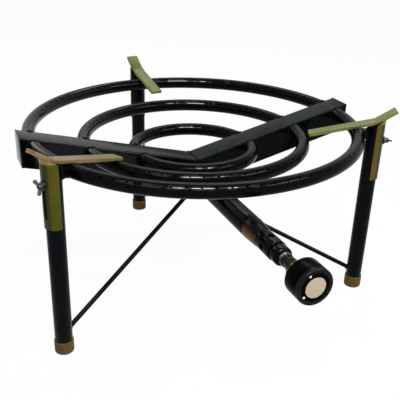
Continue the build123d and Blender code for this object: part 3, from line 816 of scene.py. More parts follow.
ring_tree = drilled_ring_tree()
rings = {}
for ring in ("outer", "middle", "inner"):
    tube_radius = span_of(f"{ring}_ring_front").z / 2
    ring_radius = axis_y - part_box(f"{ring}_ring_front")[0].y - tube_radius
    ring_height = middle_of(f"{ring}_ring_front").z
    rings[ring] = (ring_radius, tube_radius, ring_height)
    inset = math.asin((duct_half - RING_INTO_DUCT) / ring_radius)
    port_inset = math.asin((duct_half + PORT_SETBACK) / ring_radius)
    port_sweep = math.pi - 2 * port_inset
    port_steps = round(port_sweep * ring_radius / PORT_PITCH)
    for half, turn in (("rear", 0.0), ("front", math.pi)):
        ring_mesh = run_tree(
            ring_tree, "black_enamel", ring_radius=ring_radius, tube_radius=tube_radius,
            start=turn + inset, sweep=math.pi - 2 * inset, port_start=turn + port_inset,
            port_step=port_sweep / port_steps, ports=port_steps + 1, port_lean=PORT_LEAN,
            port_radius=PORT_RADIUS, port_depth=PORT_DEPTH, place=(0.0, axis_y, ring_height))
        dress(f"{ring}_ring_{half}_tube", ring_mesh, f"{ring}_ring_{half}")

# %% [markdown]
# The ducts are folded from sheet, so their long edges are round, and a plate closes each outer end. A
# sloped box with its four long edges bevelled shows that without modelling the folds. The caps are plates
# of the same section, with a small bevel on every edge.

# %% Ducts and end plates
DUCT_HEIGHT = 44 * MM
DUCT_FOLD = 2.6 * MM
DUCT_FOLD_STEPS = 5
CAP_SOFTEN = 0.9 * MM
duct_low, duct_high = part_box("right_arm")
duct_reach = duct_high.x
duct_slope = (duct_high.z - duct_low.z - DUCT_HEIGHT) / duct_reach
duct_floor = duct_low.z


def duct_section(start, end):
    """The duct's side view between two distances from the burner's axis, as corners in X and Z."""
    return [(x, duct_floor + x * duct_slope + rise) for x, rise in
            ((start, 0.0), (end, 0.0), (end, DUCT_HEIGHT), (start, DUCT_HEIGHT))]


def is_long(edge):
    return abs(edge.verts[0].co.x - edge.verts[1].co.x) > duct_reach / 2


at_axis = Matrix.Translation(axis_place)
cap_reach = duct_reach + span_of("right_arm_cap").x
for side, mirror in (("right", 1), ("left", -1)):
    duct_mesh = plate(duct_section(0.0, duct_reach), 2 * duct_half, DUCT_FOLD, at_axis,
                      is_long, DUCT_FOLD_STEPS)
    cap_mesh = plate(duct_section(duct_reach, cap_reach), 2 * duct_half, CAP_SOFTEN, at_axis)
    for mesh in (duct_mesh, cap_mesh):
        mesh.transform(Matrix.Diagonal((mirror, 1, 1, 1)))
        if mirror < 0:
            mesh.flip_normals()
    dress(f"{side}_duct", duct_mesh, f"{side}_arm")
    dress(f"{side}_duct_cap", cap_mesh, f"{side}_arm_cap")

# %% [markdown]
# The mixing tube is plain tube; the collar on its end tapers and narrows to a chamber with four air holes,
# which the shutter's own holes uncover. Both are turned profiles with real bores, drilled across, so one
# sees into them.

# %% Mixing tube, collar and shutter
AIR_HOLE_RADIUS = 4.5 * MM
AIR_HOLE_COUNT = 4
AIR_HOLE_SETBACK = 18 * MM
CHAMBER_RADIUS = 11.4 * MM
CHAMBER_BORE = 9.6 * MM
COLLAR_BORE = 12 * MM
COLLAR_END_RADIUS = 14.2 * MM
COLLAR_STEP = 4 * MM
SHUTTER_BORE = 11.45 * MM
SHUTTER_GAP = 0.3 * MM
SHUTTER_EDGE = 0.8 * MM
TUBE_BITE = 2 * MM
TUBE_EDGE = 0.6 * MM
DRILL_REACH = 20 * MM
LIE_OUT = Matrix.Rotation(math.pi / 2, 4, "Y")


def gas_span(node):
    """Distances of a node's near and far end from the burner's axis, along the gas line."""
    low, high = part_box(node)
    return axis_y - high.y, axis_y - low.y


def bar_profile(radius, start, end, edge_start=0, edge_end=0):
    """Profile of a solid round bar, with rounded ends if they have an edge radius."""
    points = [(0.0, start), (radius, start), (radius, end), (0.0, end)]
    return rounded(points, (0, edge_start, edge_end, 0), closed=False)


def pipe_profile(radius, bore, start, end, edge):
    points = [(bore, start), (radius, start), (radius, end), (bore, end)]
    return rounded(points, (edge / 2, edge, edge, edge / 2))


def air_holes():
    """Round bars across the gas line, where the chamber and the shutter are drilled."""
    place = gas_span("mixer_collar")[1] - AIR_HOLE_SETBACK
    profile = bar_profile(AIR_HOLE_RADIUS, CHAMBER_BORE / 2, DRILL_REACH)
    bars = []
    for i in range(AIR_HOLE_COUNT):
        turn = Matrix.Rotation(math.tau * i / AIR_HOLE_COUNT, 4, "Z")
        bars.append(turned(profile, gas_frame @ Matrix.Translation((0, 0, place)) @ turn @ LIE_OUT, 32))
    return joined(bars)


tube_start, tube_end = gas_span("mixing_tube")
tube_profile = bar_profile(span_of("mixing_tube").x / 2, tube_start - TUBE_BITE, tube_end, 0, TUBE_EDGE)
dress("mixing_tube_skin", turned(tube_profile, gas_frame), "mixing_tube")

collar_start, chamber_end = gas_span("mixer_collar")
collar_radius = span_of("mixer_collar").x / 2
shutter_start, shutter_end = gas_span("air_shutter")
collar_end = shutter_start - SHUTTER_GAP
collar_profile = rounded(
    [(COLLAR_BORE, collar_start), (collar_radius, collar_start), (COLLAR_END_RADIUS, collar_end),
     (CHAMBER_RADIUS, collar_end), (CHAMBER_RADIUS, chamber_end), (CHAMBER_BORE, chamber_end),
     (CHAMBER_BORE, collar_end - COLLAR_STEP), (COLLAR_BORE, collar_end - COLLAR_STEP)],
    (0, 1.2 * MM, 1.8 * MM, 0, 0.3 * MM, 0, 0, 0))
collar_mesh = cut(turned(collar_profile, gas_frame), air_holes())
dress("mixer_collar_turned", collar_mesh, "mixer_collar")

shutter_profile = pipe_profile(span_of("air_shutter").x / 2, SHUTTER_BORE, shutter_start, shutter_end,
                               SHUTTER_EDGE)
shutter_mesh = cut(turned(shutter_profile, gas_frame), air_holes())
dress("air_shutter_sleeve", shutter_mesh, "air_shutter")

# %% [markdown]
# The tap is a brass casting between a rounded nut and a six-sided bonnet, with a boss for the hose below.
# The body and its boss cross each other, so they are melted into one skin with a soft inner corner, as a
# casting has.

# %% Tap nut, body and bonnet
NUT_ROUND = 4 * MM
BOSS_RADIUS = 8 * MM
BOSS_REACH = 15 * MM
CAST_GRAIN = 0.4 * MM
WAIST_DEPTH = 1.2 * MM
WAIST_PLACES = (9 * MM, 11 * MM, 14 * MM, 16 * MM)
nut_start, nut_end = gas_span("tap_nut")
nut_profile = bar_profile(span_of("tap_nut").x / 2, nut_start, nut_end, NUT_ROUND, NUT_ROUND)
dress("tap_nut_turned", turned(nut_profile, gas_frame), "tap_nut")

body_radius = span_of("tap_body").x / 2
body_start = nut_end - 1 * MM
body_end = gas_span("tap_body")[1]
waist = zip((body_radius, body_radius - WAIST_DEPTH, body_radius - WAIST_DEPTH, body_radius),
            (nut_end + place for place in WAIST_PLACES))
body_profile = rounded(
    [(0.0, body_start), (body_radius, body_start), *waist, (body_radius, body_end), (0.0, body_end)],
    (0, 0.5 * MM, 1 * MM, 1 * MM, 1 * MM, 1 * MM, 0.8 * MM, 0), closed=False)
boss_frame = local_frame((0, middle_of("gas_inlet").y, gas_height), (1, 0, 0), -UP)
body_parts = [turned(body_profile, gas_frame),
              turned(bar_profile(BOSS_RADIUS, 0.0, BOSS_REACH, 0, 0.8 * MM), boss_frame)]
dress("tap_body_casting", cast(joined(body_parts), CAST_GRAIN), "tap_body")


def hexagon(across_flats, height, soften, matrix):
    """A six-sided nut with softened edges."""
    reach = across_flats / math.sqrt(3)
    corners = [(reach * math.cos(math.tau * i / 6), reach * math.sin(math.tau * i / 6)) for i in range(6)]
    stand = Matrix.Translation((0, 0, height / 2)) @ Matrix.Rotation(math.pi / 2, 4, "X")
    return plate(corners, height, soften, matrix @ stand)


bonnet_start, bonnet_end = gas_span("tap_bonnet")
bonnet_mesh = hexagon(span_of("tap_bonnet").z, bonnet_end - bonnet_start, 0.7 * MM,
                      gas_frame @ Matrix.Translation((0, 0, bonnet_start)))
dress("tap_bonnet_hexagon", bonnet_mesh, "tap_bonnet")

# %% [markdown]
# The knob is a moulded drum with a rounded rim. The cream disc sits in a shallow recess of its face, and
# two small white studs mark its settings. A bevelled cylinder would be too plain, so the rim, the groove
# and the wall round the disc are one turned profile.

# %% Knob, disc and marks
KNOB_RIM = 2.8 * MM
KNOB_SKIRT = 7 * MM
KNOB_HOLLOW = 1 * MM
KNOB_LIP = 3.6 * MM
KNOB_LIP_FOOT = 5 * MM
KNOB_GROOVE = 1.1 * MM
DISC_RECESS = 0.3 * MM
DISC_GAP = 0.1 * MM
DISC_EDGE = 0.3 * MM
STUD_SINK = 0.5 * MM
MARK_RADIUS = 1.6 * MM
MARK_RISE = 0.9 * MM
MARK_CIRCLE = 17.9 * MM
MARK_ANGLES = (118, 217)
knob_back, knob_front = gas_span("knob")
knob_radius = span_of("knob").x / 2
disc_radius = span_of("knob_disc").x / 2
groove_floor = knob_front - KNOB_GROOVE
wall_top = knob_front - 0.1 * MM
knob_profile = rounded(
    [(0.0, knob_back + KNOB_HOLLOW), (knob_radius - KNOB_SKIRT, knob_back + KNOB_HOLLOW),
     (knob_radius - KNOB_SKIRT, knob_back), (knob_radius, knob_back), (knob_radius, knob_front),
     (knob_radius - KNOB_LIP, knob_front), (knob_radius - KNOB_LIP_FOOT, groove_floor),
     (disc_radius + 1 * MM, groove_floor), (disc_radius + 0.6 * MM, wall_top), (disc_radius, wall_top),
     (disc_radius, groove_floor), (0.0, groove_floor)],
    (0, 0, 0.4 * MM, 1.5 * MM, KNOB_RIM, 0.5 * MM, 0.6 * MM, 0.3 * MM, 0.15 * MM, 0.15 * MM, 0, 0),
    closed=False)
dress("knob_drum", turned(knob_profile, gas_frame, 96), "knob")
disc_profile = bar_profile(disc_radius - DISC_GAP, groove_floor - STUD_SINK, knob_front - DISC_RECESS,
                           0, DISC_EDGE)
dress("knob_face_disc", turned(disc_profile, gas_frame), "knob_disc")


def knob_mark(angle):
    """A small domed stud in the groove, at an angle that turns from right to top."""
    profile = [(0.0, groove_floor - STUD_SINK), (MARK_RADIUS, groove_floor - STUD_SINK)]
    for i in range(6):
        lift = math.radians(15 * i)
        profile.append((MARK_RADIUS * math.cos(lift), groove_floor + MARK_RISE * math.sin(lift)))
    profile.append((0.0, groove_floor + MARK_RISE))
    spin = Matrix.Rotation(math.radians(angle), 4, "Z") @ Matrix.Translation((MARK_CIRCLE, 0, 0))
    return turned(profile, gas_frame @ spin, 20)


dress("knob_mark_studs", joined(map(knob_mark, MARK_ANGLES)), "knob_marks")

# %% [markdown]
# The legs are tube, closed at the bottom by a grooved foot cap. They are turned profiles: the leg is hollow
# at the top, where one looks into it, and the foot has three real grooves.

# %% Legs and feet
LEG_WALL = 1.5 * MM
LEG_EDGE = 0.5 * MM
FOOT_EDGE = 0.6 * MM
FOOT_LIP = 0.8 * MM
FOOT_GROOVES = 3
GROOVE_DEPTH = 0.8 * MM
GROOVE_HALF = 1.1 * MM
foot_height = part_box("leg_left")[0].z
foot_radius = span_of("foot_cap_left").x / 2
leg_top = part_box("leg_left")[1].z
leg_radius = span_of("leg_left").x / 2


def foot_profile():
    points = [(0.0, 0.0), (foot_radius - FOOT_EDGE, 0.0), (foot_radius, 2 * FOOT_EDGE)]
    pitch = foot_height / (FOOT_GROOVES + 1)
    for i in range(1, FOOT_GROOVES + 1):
        for step, depth in ((-1, 0), (-0.5, GROOVE_DEPTH), (0.5, GROOVE_DEPTH), (1, 0)):
            points.append((foot_radius - depth, pitch * i + step * GROOVE_HALF))
    return points + [(foot_radius, foot_height - FOOT_LIP), (foot_radius - FOOT_LIP, foot_height),
                     (0.0, foot_height)]


for side in SIDES:
    stand = leg_frame(side)
    leg_profile = pipe_profile(leg_radius, leg_radius - LEG_WALL, foot_height, leg_top, LEG_EDGE)
    dress(f"leg_{side}_tube", turned(leg_profile, stand), f"leg_{side}")
    dress(f"foot_{side}_cap", turned(foot_profile(), stand, 64), f"foot_cap_{side}")

# %% [markdown]
# Each rest is a flat bar with sheared, slightly worn edges, bent up at its outer end with a real bend
# radius. Its side view is one outline with arcs at the bend, pushed to the bar's width, so that the bar keeps
# its thickness round the bend.

# %% Disc rests
REST_INNER_RUNS = {"left": 113 * MM, "right": 99 * MM, "rear": 85 * MM}
REST_BEND_INSET = 1.5 * MM
REST_TIP_RUN = 28 * MM
REST_TIP_SLOPE = math.tan(math.radians(34))
REST_THICKNESS = 5 * MM
REST_WIDTH = 20 * MM
REST_BEND_RADIUS = 14 * MM
REST_SOFTEN = 0.7 * MM


def offset_below(upper, depth):
    """The line one depth below a line of three points."""
    first = (Vector(upper[1]) - Vector(upper[0])).normalized()
    last = (Vector(upper[2]) - Vector(upper[1])).normalized()
    mean = (first + last).normalized()
    mitre = depth / mean.dot(first)
    downs = [(first, depth), (mean, mitre), (last, depth)]
    return [Vector(p) + d * Vector((run.y, -run.x)) for p, (run, d) in zip(upper, downs)]


def rest_upper_line(side):
    tip_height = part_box(f"disc_rest_{side}")[1].z
    bend = (-REST_BEND_INSET, tip_height - REST_TIP_RUN * REST_TIP_SLOPE)
    inner = (bend[0] - REST_INNER_RUNS[side], bend[1] - REST_INNER_RUNS[side] * duct_slope)
    return [inner, bend, (bend[0] + REST_TIP_RUN, tip_height)]


def rest_lower_line(side):
    return offset_below(rest_upper_line(side), REST_THICKNESS)


for side in SIDES:
    outline = rounded([*rest_upper_line(side), *rest_lower_line(side)[::-1]],
                      (0, REST_BEND_RADIUS, 0, 0, REST_BEND_RADIUS + REST_THICKNESS, 0), 6)
    rest_mesh = plate(outline, REST_WIDTH, REST_SOFTEN, leg_frame(side))
    dress(f"disc_rest_{side}_bar", rest_mesh, f"disc_rest_{side}")

# %% [markdown]
# Below each rest, a slider of half-round sheet hugs the leg, with a long slot for the wing screw. Its upper
# edge follows the slope of the bar's underside. A tube could be cut to that shape, but columns of points
# round the leg give it at once, and only the slot is cut.

# %% Sliders
SLIDER_SHEET = 1.5 * MM
SLIDER_WRAP = math.radians(90)
SLIDER_STEPS = 36
SLIDER_CLEARANCE = 0.3 * MM
SLOT_HALF = 3.3 * MM
SLOT_TRAVEL = 45 * MM
SLOT_TOOL_PLACE = 20 * MM
SLOT_TOOL_DEPTH = 30 * MM
slider_inside = leg_radius + SLIDER_CLEARANCE
slider_outside = slider_inside + SLIDER_SHEET


def slider_arc(side, radius, wrap, steps):
    """Points round the leg under the rest's outer part, each at the height of the rest's underside."""
    bend, tip = rest_lower_line(side)[1:]
    slope = (tip.y - bend.y) / (tip.x - bend.x)
    for i in range(steps + 1):
        angle = wrap * (2 * i / steps - 1)
        x = radius * math.cos(angle)
        yield Vector((x, radius * math.sin(angle), bend.y + (x - bend.x) * slope))


def slider_sheet(side):
    """The half-round sheet: an inner and an outer skin between two angles, closed all round."""
    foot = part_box(f"rest_slider_{side}")[0].z
    skins = [slider_arc(side, r, SLIDER_WRAP, SLIDER_STEPS) for r in (slider_inside, slider_outside)]
    bm = bmesh.new()
    columns = []
    for inner, outer in zip(*skins):
        columns.append([bm.verts.new(p) for top in (inner, outer) for p in ((top.x, top.y, foot), top)])
    for a, b in zip(columns, columns[1:]):
        for i, j in ((0, 1), (1, 3), (3, 2), (2, 0)):
            bm.faces.new((a[i], a[j], b[j], b[i]))
    for end in (columns[0], columns[-1]):
        bm.faces.new((end[0], end[1], end[3], end[2]))
    return mesh_from(bm)


def slot_tool(side):
    high = joints[f"wing_turn_{side}"]["pos_m"][2] + SLOT_HALF
    low = high - SLOT_TRAVEL - 2 * SLOT_HALF
    corners = [(-SLOT_HALF, low), (SLOT_HALF, low), (SLOT_HALF, high), (-SLOT_HALF, high)]
    lie = Matrix.Translation((SLOT_TOOL_PLACE, 0, 0)) @ Matrix.Rotation(math.pi / 2, 4, "Z")
    return plate(rounded(corners, [SLOT_HALF * 0.999] * 4, 8), SLOT_TOOL_DEPTH, 0.01 * MM, lie)


for side in SIDES:
    slider_mesh = cut(slider_sheet(side), slot_tool(side))
    slider_mesh.transform(leg_frame(side))
    dress(f"rest_slider_{side}_sheet", slider_mesh, f"rest_slider_{side}")

# %% [markdown]
# A thread is a ridge wound on a core. Bump in a material would leave its outline straight, so the tree
# sweeps a small circle along a spiral, and the ridge is then joined with a turned core. It serves the hose
# thread, the stud under the ducts and the wing screws' shanks.

# %% Threads
RIDGE_SIDES = 6
RIDGE_FOLD = math.radians(80)
RIDGE_SHARE = 0.3
CORE_SINK = 1.4
CORE_EDGE = 0.3 * MM
HOSE_PITCH = 1.34 * MM
HOSE_BORE = 3 * MM


def thread_tree():
    tree, wires, entry = new_tree("thread_ridge", {
        "Radius": "Float", "Pitch": "Float", "Length": "Float", "Ridge": "Float"})
    turns = entry["Length"] / entry["Pitch"]
    spiral = wires.node("GeometryNodeCurveSpiral", {
        "Resolution": 24, "Rotations": turns, "Start Radius": entry["Radius"],
        "End Radius": entry["Radius"], "Height": entry["Length"]})
    section = wires.node("GeometryNodeCurvePrimitiveCircle", {
        "Resolution": RIDGE_SIDES, "Radius": entry["Ridge"]}, mode="RADIUS")
    ridge = wires.node("GeometryNodeCurveToMesh", {
        "Curve": spiral, "Profile Curve": section, "Fill Caps": True})
    close_tree(wires, entry, smooth_shaded(wires, ridge, RIDGE_FOLD))
    return tree


ridge_tree = thread_tree()


def threaded(radius, pitch, start, end, bore, slot):
    """A threaded bar on local Z: a core with rounded ends and a ridge that reaches the full radius."""
    ridge = pitch * RIDGE_SHARE
    core = radius - CORE_SINK * ridge
    profile = bar_profile(core, start, end, 0, CORE_EDGE)
    if bore:
        profile = pipe_profile(core, bore, start, end, CORE_EDGE)
    wound = run_tree(ridge_tree, slot, radius=radius - ridge, pitch=pitch, length=end - start - 2 * ridge,
                     ridge=ridge)
    wound.transform(Matrix.Translation((0, 0, start + ridge)))
    return joined([turned(profile, Matrix(), 48), wound])


inlet_low, inlet_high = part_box("gas_inlet")
inlet_mesh = threaded(span_of("gas_inlet").x / 2, HOSE_PITCH, gas_height - inlet_high.z,
                      gas_height - inlet_low.z, HOSE_BORE, "tap_brass")
inlet_mesh.transform(boss_frame)
dress("gas_inlet_thread", inlet_mesh, "gas_inlet")

# %% [markdown]
# Under the ducts, three thin rods from the legs run into a turned hub, which hangs on a threaded stud with
# a nut. A short square block joins each leg to the outer ring. Rods and blocks run a little way into what
# they are welded to, so that no gap shows at their ends.

# %% Braces, hub and leg blocks
BRACE_RADIUS = 3.5 * MM
BRACE_FOOT_HEIGHT = 27 * MM
BRACE_BITE = 1 * MM
HUB_BELOW = 10 * MM
HUB_EDGE = 1.5 * MM
NUT_EDGE = 0.6 * MM
STUD_BITE = 1 * MM
STUD_PITCH = 1.25 * MM
BLOCK_HALF = 7 * MM
BLOCK_BITE = 1.5 * MM
BLOCK_EDGE = 0.8 * MM
hub_low, hub_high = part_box("brace_hub")
hub_radius = span_of("brace_hub").x / 2
hub_centre = Vector((0, axis_y, hub_low.z + HUB_BELOW))
hub_profile = bar_profile(hub_radius, hub_low.z, hub_high.z, HUB_EDGE, HUB_EDGE)
dress("brace_hub_turned", turned(hub_profile, at_axis), "brace_hub")
stud_mesh = threaded(span_of("brace_stud").x / 2, STUD_PITCH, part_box("brace_stud")[0].z,
                     duct_floor + STUD_BITE, 0, "black_enamel")
stud_mesh.transform(at_axis)
dress("brace_stud_thread", stud_mesh, "brace_stud")
nut_span = span_of("brace_nut")
nut_mesh = hexagon(nut_span.y, nut_span.z, NUT_EDGE,
                   at_axis @ Matrix.Translation((0, 0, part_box("brace_nut")[0].z)))
dress("brace_nut_hexagon", nut_mesh, "brace_nut")


def brace_axis(side):
    """Where a brace's middle line leaves its leg, and where it enters the hub."""
    foot = leg_place(side) + BRACE_FOOT_HEIGHT * UP
    inward = hub_centre - foot
    flat = Vector((inward.x, inward.y, 0)).length
    return foot + inward * (leg_radius / flat), foot + inward * (1 - hub_radius / flat)


outer_radius, outer_tube, outer_height = rings["outer"]


def ring_gap(side):
    """From the outer ring's middle line to the leg's."""
    return (leg_place(side) - axis_place).length - outer_radius


for side in SIDES:
    low, high = brace_axis(side)
    rod_frame = local_frame(low, UP.cross(high - low), high - low)
    rod_profile = bar_profile(BRACE_RADIUS, -BRACE_BITE, (high - low).length + BRACE_BITE)
    dress(f"brace_{side}_rod", turned(rod_profile, rod_frame, 32), f"brace_{side}")
    from_ring = math.sqrt(outer_tube**2 - BLOCK_HALF**2) - ring_gap(side) - BLOCK_BITE
    to_leg = BLOCK_BITE - math.sqrt(leg_radius**2 - BLOCK_HALF**2)
    low, high = outer_height - BLOCK_HALF, outer_height + BLOCK_HALF
    block_outline = [(from_ring, low), (to_leg, low), (to_leg, high), (from_ring, high)]
    block_mesh = plate(block_outline, 2 * BLOCK_HALF, BLOCK_EDGE, radial_frame(side))
    dress(f"leg_block_{side}_bar", block_mesh, f"leg_block_{side}")

# %% [markdown]
# Each wing screw is a small casting: a conical hub and two ears that flare outwards. They are melted into
# one skin, because a bevel can't round the corner between separate solids. Its shank is threaded, and a
# turned washer lies between it and the slider.

# %% Wing screws and washers
WING_LEANS = {"left": -65, "right": -15, "rear": 20}
SCREW_TIP = 4 * MM
SHANK_BITE = 1 * MM
SCREW_RADIUS = 3 * MM
SCREW_PITCH = 1 * MM
SCREW_HUB_RADIUS = 4.6 * MM
SCREW_HUB_TOP_RADIUS = 3.4 * MM
SCREW_HUB_LENGTH = 6.5 * MM
WING_SPAN = 10.5 * MM
WING_RISE = 6 * MM
WING_TIP = 6.8 * MM
WING_TIP_ROUND = 2.4 * MM
WING_ROOT = 1 * MM
WING_THICKNESS = 2.2 * MM
WING_SOFTEN = 0.9 * MM
WING_GRAIN = 0.35 * MM
WASHER_GAP = 0.3 * MM
WASHER_THICKNESS = 1.5 * MM
HEAD_GAP = 0.05 * MM
WASHER_RADIUS = 6.2 * MM
WASHER_BORE = 3.3 * MM
WASHER_EDGE = 0.35 * MM
washer_place = slider_outside + WASHER_GAP
head_place = washer_place + WASHER_THICKNESS + HEAD_GAP


def wing_head():
    """The hub and both ears, lying along X from the origin, with the ears in the X-Y plane."""
    hub_profile = rounded([(0.0, 0.0), (SCREW_HUB_RADIUS, 0.0), (SCREW_HUB_TOP_RADIUS, SCREW_HUB_LENGTH),
                           (0.0, SCREW_HUB_LENGTH)], (0, 0.4 * MM, 1.4 * MM, 0), closed=False)
    ear_tip = SCREW_HUB_LENGTH + WING_RISE
    ear = rounded([(WING_ROOT, 0.0), (SCREW_HUB_LENGTH - WING_ROOT, 0.0), (ear_tip, WING_SPAN),
                   (ear_tip - WING_TIP, WING_SPAN)], (0, 0, WING_TIP_ROUND, WING_TIP_ROUND))
    pieces = [turned(hub_profile, LIE_OUT, 40)]
    for turn in (-math.pi / 2, math.pi / 2):
        pieces.append(plate(ear, WING_THICKNESS, WING_SOFTEN, Matrix.Rotation(turn, 4, "X")))
    return cast(joined(pieces), WING_GRAIN)


washer_profile = pipe_profile(WASHER_RADIUS, WASHER_BORE, washer_place, washer_place + WASHER_THICKNESS,
                              WASHER_EDGE)
for side in SIDES:
    at_screw = leg_frame(side) @ Matrix.Translation((0, 0, joints[f"wing_turn_{side}"]["pos_m"][2]))
    head = wing_head()
    head.transform(at_screw @ Matrix.Translation((head_place, 0, 0))
                   @ Matrix.Rotation(math.radians(WING_LEANS[side]), 4, "X"))
    shank = threaded(SCREW_RADIUS, SCREW_PITCH, SCREW_TIP, head_place + SHANK_BITE, 0, "zinc_steel")
    shank.transform(at_screw @ LIE_OUT)
    dress(f"wing_screw_{side}_cast", joined([head, shank]), f"wing_screw_{side}")
    dress(f"screw_washer_{side}_ring", turned(washer_profile, at_screw @ LIE_OUT, 48), f"screw_washer_{side}")

# %% [markdown]
# The frame is welded by hand, and the beads show as small overlapping scales under the enamel. A bead could
# be a plain rope along the joint, but the scales are what makes it look welded. The tree walks along a line
# at an even pitch and sets down flattened scales of slightly different size.

# %% Weld tree
WELD_PITCH = 1.7 * MM


def weld_tree():
    tree, wires, entry = new_tree("weld_bead", {"Pitch": "Float", "Bead": "Float", "Seed": "Int"})
    line = wires.node("GeometryNodeMeshToCurve", {"Mesh": entry})
    line = wires.node("GeometryNodeResampleCurve", {"Curve": line, "Length": entry["Pitch"]},
                      mode="LENGTH")
    scale = wires.node("GeometryNodeMeshUVSphere", {"Segments": 8, "Rings": 6, "Radius": 1.0})
    tangent = wires.node("GeometryNodeInputTangent")
    turn = wires.node("FunctionNodeAlignRotationToVector", {"Vector": tangent}, axis="X")
    vary = wires.node("FunctionNodeRandomValue", {2: 0.8, 3: 1.2, "Seed": entry["Seed"]}, 1,
                      data_type="FLOAT")
    size = entry["Bead"] * vary
    size = wires.node("ShaderNodeCombineXYZ", {"X": size * 0.75, "Y": size, "Z": size})
    beads = wires.node("GeometryNodeInstanceOnPoints", {
        "Points": line, "Instance": scale, "Rotation": turn, "Scale": size})
    beads = wires.node("GeometryNodeRealizeInstances", {"Geometry": beads})
    close_tree(wires, entry, smooth_shaded(wires, beads, math.pi))
    return tree


bead_tree = weld_tree()


def weld(paths, bead, seed, slot):
    return run_tree(bead_tree, slot, path_mesh(paths), pitch=WELD_PITCH, bead=bead, seed=seed)


print("weld tree with", len(bead_tree.nodes), "nodes")

# %% [markdown]
# The welded joints are worked out as lines in space: ovals where the rings enter the ducts, the seam between
# the ducts, the mixing tube's root, the ends of the blocks and braces, and the edge where each slider meets
# its rest.

# %% Weld beads
WELD_LIFT = 0.3 * MM
SEAM_DROP = 9 * MM
BLOCK_STEPS = 8
RIM_BEAD = 1.2 * MM
RIM_SEED = 11
RIM_WRAP = math.radians(38)
RIM_STEPS = 24


def circle_path(frame_matrix, radius_x, radius_y, count=28):
    turns = [math.tau * i / count for i in range(count)]
    return [frame_matrix @ Vector((radius_x * math.cos(t), radius_y * math.sin(t), 0)) for t in turns], True


def ring_joints():
    """Where the rings run into the ducts: an oval at each of the twelve tube ends."""
    paths = []
    for ring_radius, tube_radius, height in rings.values():
        reach = math.sqrt(ring_radius**2 - duct_half**2)
        wide = tube_radius * ring_radius / reach
        for along in (-1, 1):
            for face in (-1, 1):
                place = (along * reach, axis_y + face * (duct_half + WELD_LIFT), height)
                paths.append(circle_path(local_frame(place, (1, 0, 0), (0, 1, 0)), wide, tube_radius))
    return paths


def duct_joints():
    """The seam where the two ducts meet, and round the mixing tube's root."""
    top = duct_floor + DUCT_HEIGHT
    seam = [axis_place + Vector((0, y, z)) for y, z in (
        (-duct_half, top - SEAM_DROP), (-duct_half, top), (duct_half, top), (duct_half, duct_floor))]
    root = gas_frame @ Matrix.Translation((0, 0, duct_half + WELD_LIFT))
    tube_radius = span_of("mixing_tube").x / 2
    return [(seam, False), circle_path(root, tube_radius, tube_radius, 40)]


def block_joints(side):
    """The outlines of a leg block's two ends, on the ring and on the leg."""
    steps = [BLOCK_HALF * (2 * i / BLOCK_STEPS - 1) for i in range(BLOCK_STEPS + 1)]
    on_ring = [(math.sqrt(outer_tube**2 - z**2) - ring_gap(side), -BLOCK_HALF, z) for z in steps]
    on_ring += [(on_ring[0][0], y, BLOCK_HALF) for y in steps]
    on_leg = [(-math.sqrt(leg_radius**2 - BLOCK_HALF**2), -BLOCK_HALF, z) for z in steps]
    on_leg += [(-math.sqrt(leg_radius**2 - y**2), y, BLOCK_HALF) for y in steps]
    for path in (on_ring, on_leg):
        path += [(x, BLOCK_HALF, z) for x, y, z in path[:len(steps)][::-1]]
    lift = radial_frame(side) @ Matrix.Translation((0, 0, outer_height))
    return [([lift @ Vector(p) for p in path], True) for path in (on_ring, on_leg)]


def brace_joints(side):
    low, high = brace_axis(side)
    ends = [local_frame(place, UP.cross(high - low), high - low) for place in (low, high)]
    return [circle_path(end, BRACE_RADIUS, BRACE_RADIUS, 14) for end in ends]


block_paths = sum((block_joints(side) for side in SIDES), [])
brace_paths = sum((brace_joints(side) for side in SIDES), [])
for slot, rows in (("black_enamel", ((ring_joints(), 1.7 * MM, 3), (duct_joints(), 1.3 * MM, 4))),
                   ("leg_enamel", ((block_paths, 1.3 * MM, 5), (brace_paths, 1.1 * MM, 6)))):
    dress(f"frame_welds_{slot}", joined([weld(*row, slot) for row in rows]), slot=slot, body="frame")
for side in SIDES:
    rim = [leg_frame(side) @ p for p in slider_arc(side, slider_outside, RIM_WRAP, RIM_STEPS)]
    rim_mesh = weld([(rim, False)], RIM_BEAD, RIM_SEED, "yellow_zinc")
    dress(f"rest_weld_{side}", rim_mesh, slot="yellow_zinc", body=f"support_{side}")

# %% [markdown]
# Floor and light. The photograph is cut out on white, so the floor glows white to the camera and to
# reflections, and only keeps a faint shadow. Four long soft lights give the highlights on the tubes.

# %% Stage and lights
FLOOR_HALF = 9.0
FLOOR_GLOW = 0.95
WORLD_FILL = 0.15
LIGHT_AIM_HEIGHT = 0.2


def seen_by_camera(wires):
    """1 for rays from the camera, and for mirror and glass rays; 0 for rays that only carry light."""
    seen = wires.node("ShaderNodeLightPath", out="Is Camera Ray")
    total = seen + seen["Is Glossy Ray"] + seen["Is Transmission Ray"]
    return wires.maths("MINIMUM", total, 1.0)


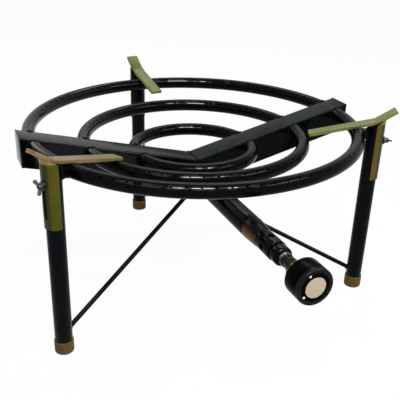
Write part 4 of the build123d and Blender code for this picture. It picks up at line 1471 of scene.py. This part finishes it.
def floor_recipe(wires):
    plain = wires.node("ShaderNodeBsdfDiffuse", {"Color": rgb(0.86, 0.86, 0.86)})
    glow = wires.node("ShaderNodeEmission", {"Color": rgb(1, 1, 1), "Strength": 1.0})
    share = seen_by_camera(wires) * FLOOR_GLOW
    return wires.node("ShaderNodeMixShader", {0: share, 1: plain, 2: glow})


def add_floor():
    mesh = bpy.data.meshes.new("floor")
    corners = [(x * FLOOR_HALF, y * FLOOR_HALF, 0.0) for x, y in ((-1, -1), (1, -1), (1, 1), (-1, 1))]
    mesh.from_pydata(corners, [], [(0, 1, 2, 3)])
    finish("floor", floor_recipe)
    mesh.materials.append(finishes["floor"])
    floor = in_scene("floor", mesh)
    floor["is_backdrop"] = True


def add_world():
    world = bpy.data.worlds.new("studio")
    world.use_nodes = True
    world.node_tree.nodes.clear()
    wires = Wire(world.node_tree)
    strength = WORLD_FILL + seen_by_camera(wires) * (1.0 - WORLD_FILL)
    white = wires.node("ShaderNodeBackground", {"Color": rgb(1, 1, 1), "Strength": strength})
    wires.node("ShaderNodeOutputWorld", {"Surface": white})
    bpy.context.scene.world = world


def add_softbox(name, place, width, height, power):
    """An area light that faces the burner."""
    data = bpy.data.lights.new(name, "AREA")
    data.shape = "RECTANGLE"
    data.size = width
    data.size_y = height
    data.energy = power
    aim = axis_place + LIGHT_AIM_HEIGHT * UP - Vector(place)
    in_scene(name, data).matrix_world = local_frame(place, aim.cross(UP), -aim)


add_floor()
add_world()
add_softbox("key", (-0.2, -1.3, 2.24), 1.5, 0.3, 48)
add_softbox("side", (1.25, -1.35, 1.7), 1.0, 0.25, 22)
add_softbox("top", (0.6, 1.37, 1.85), 1.0, 0.2, 9)
add_softbox("back", (-0.66, 1.85, 1.28), 0.9, 0.5, 9)
bpy.context.scene.view_settings.view_transform = "Standard"
print("stage and lights ready")

# %% Sizes
visual_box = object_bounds()
for label, (low, high) in (("cad", cad_box), ("visual", visual_box)):
    print(label, [round(v, 5) for v in low], [round(v, 5) for v in high])
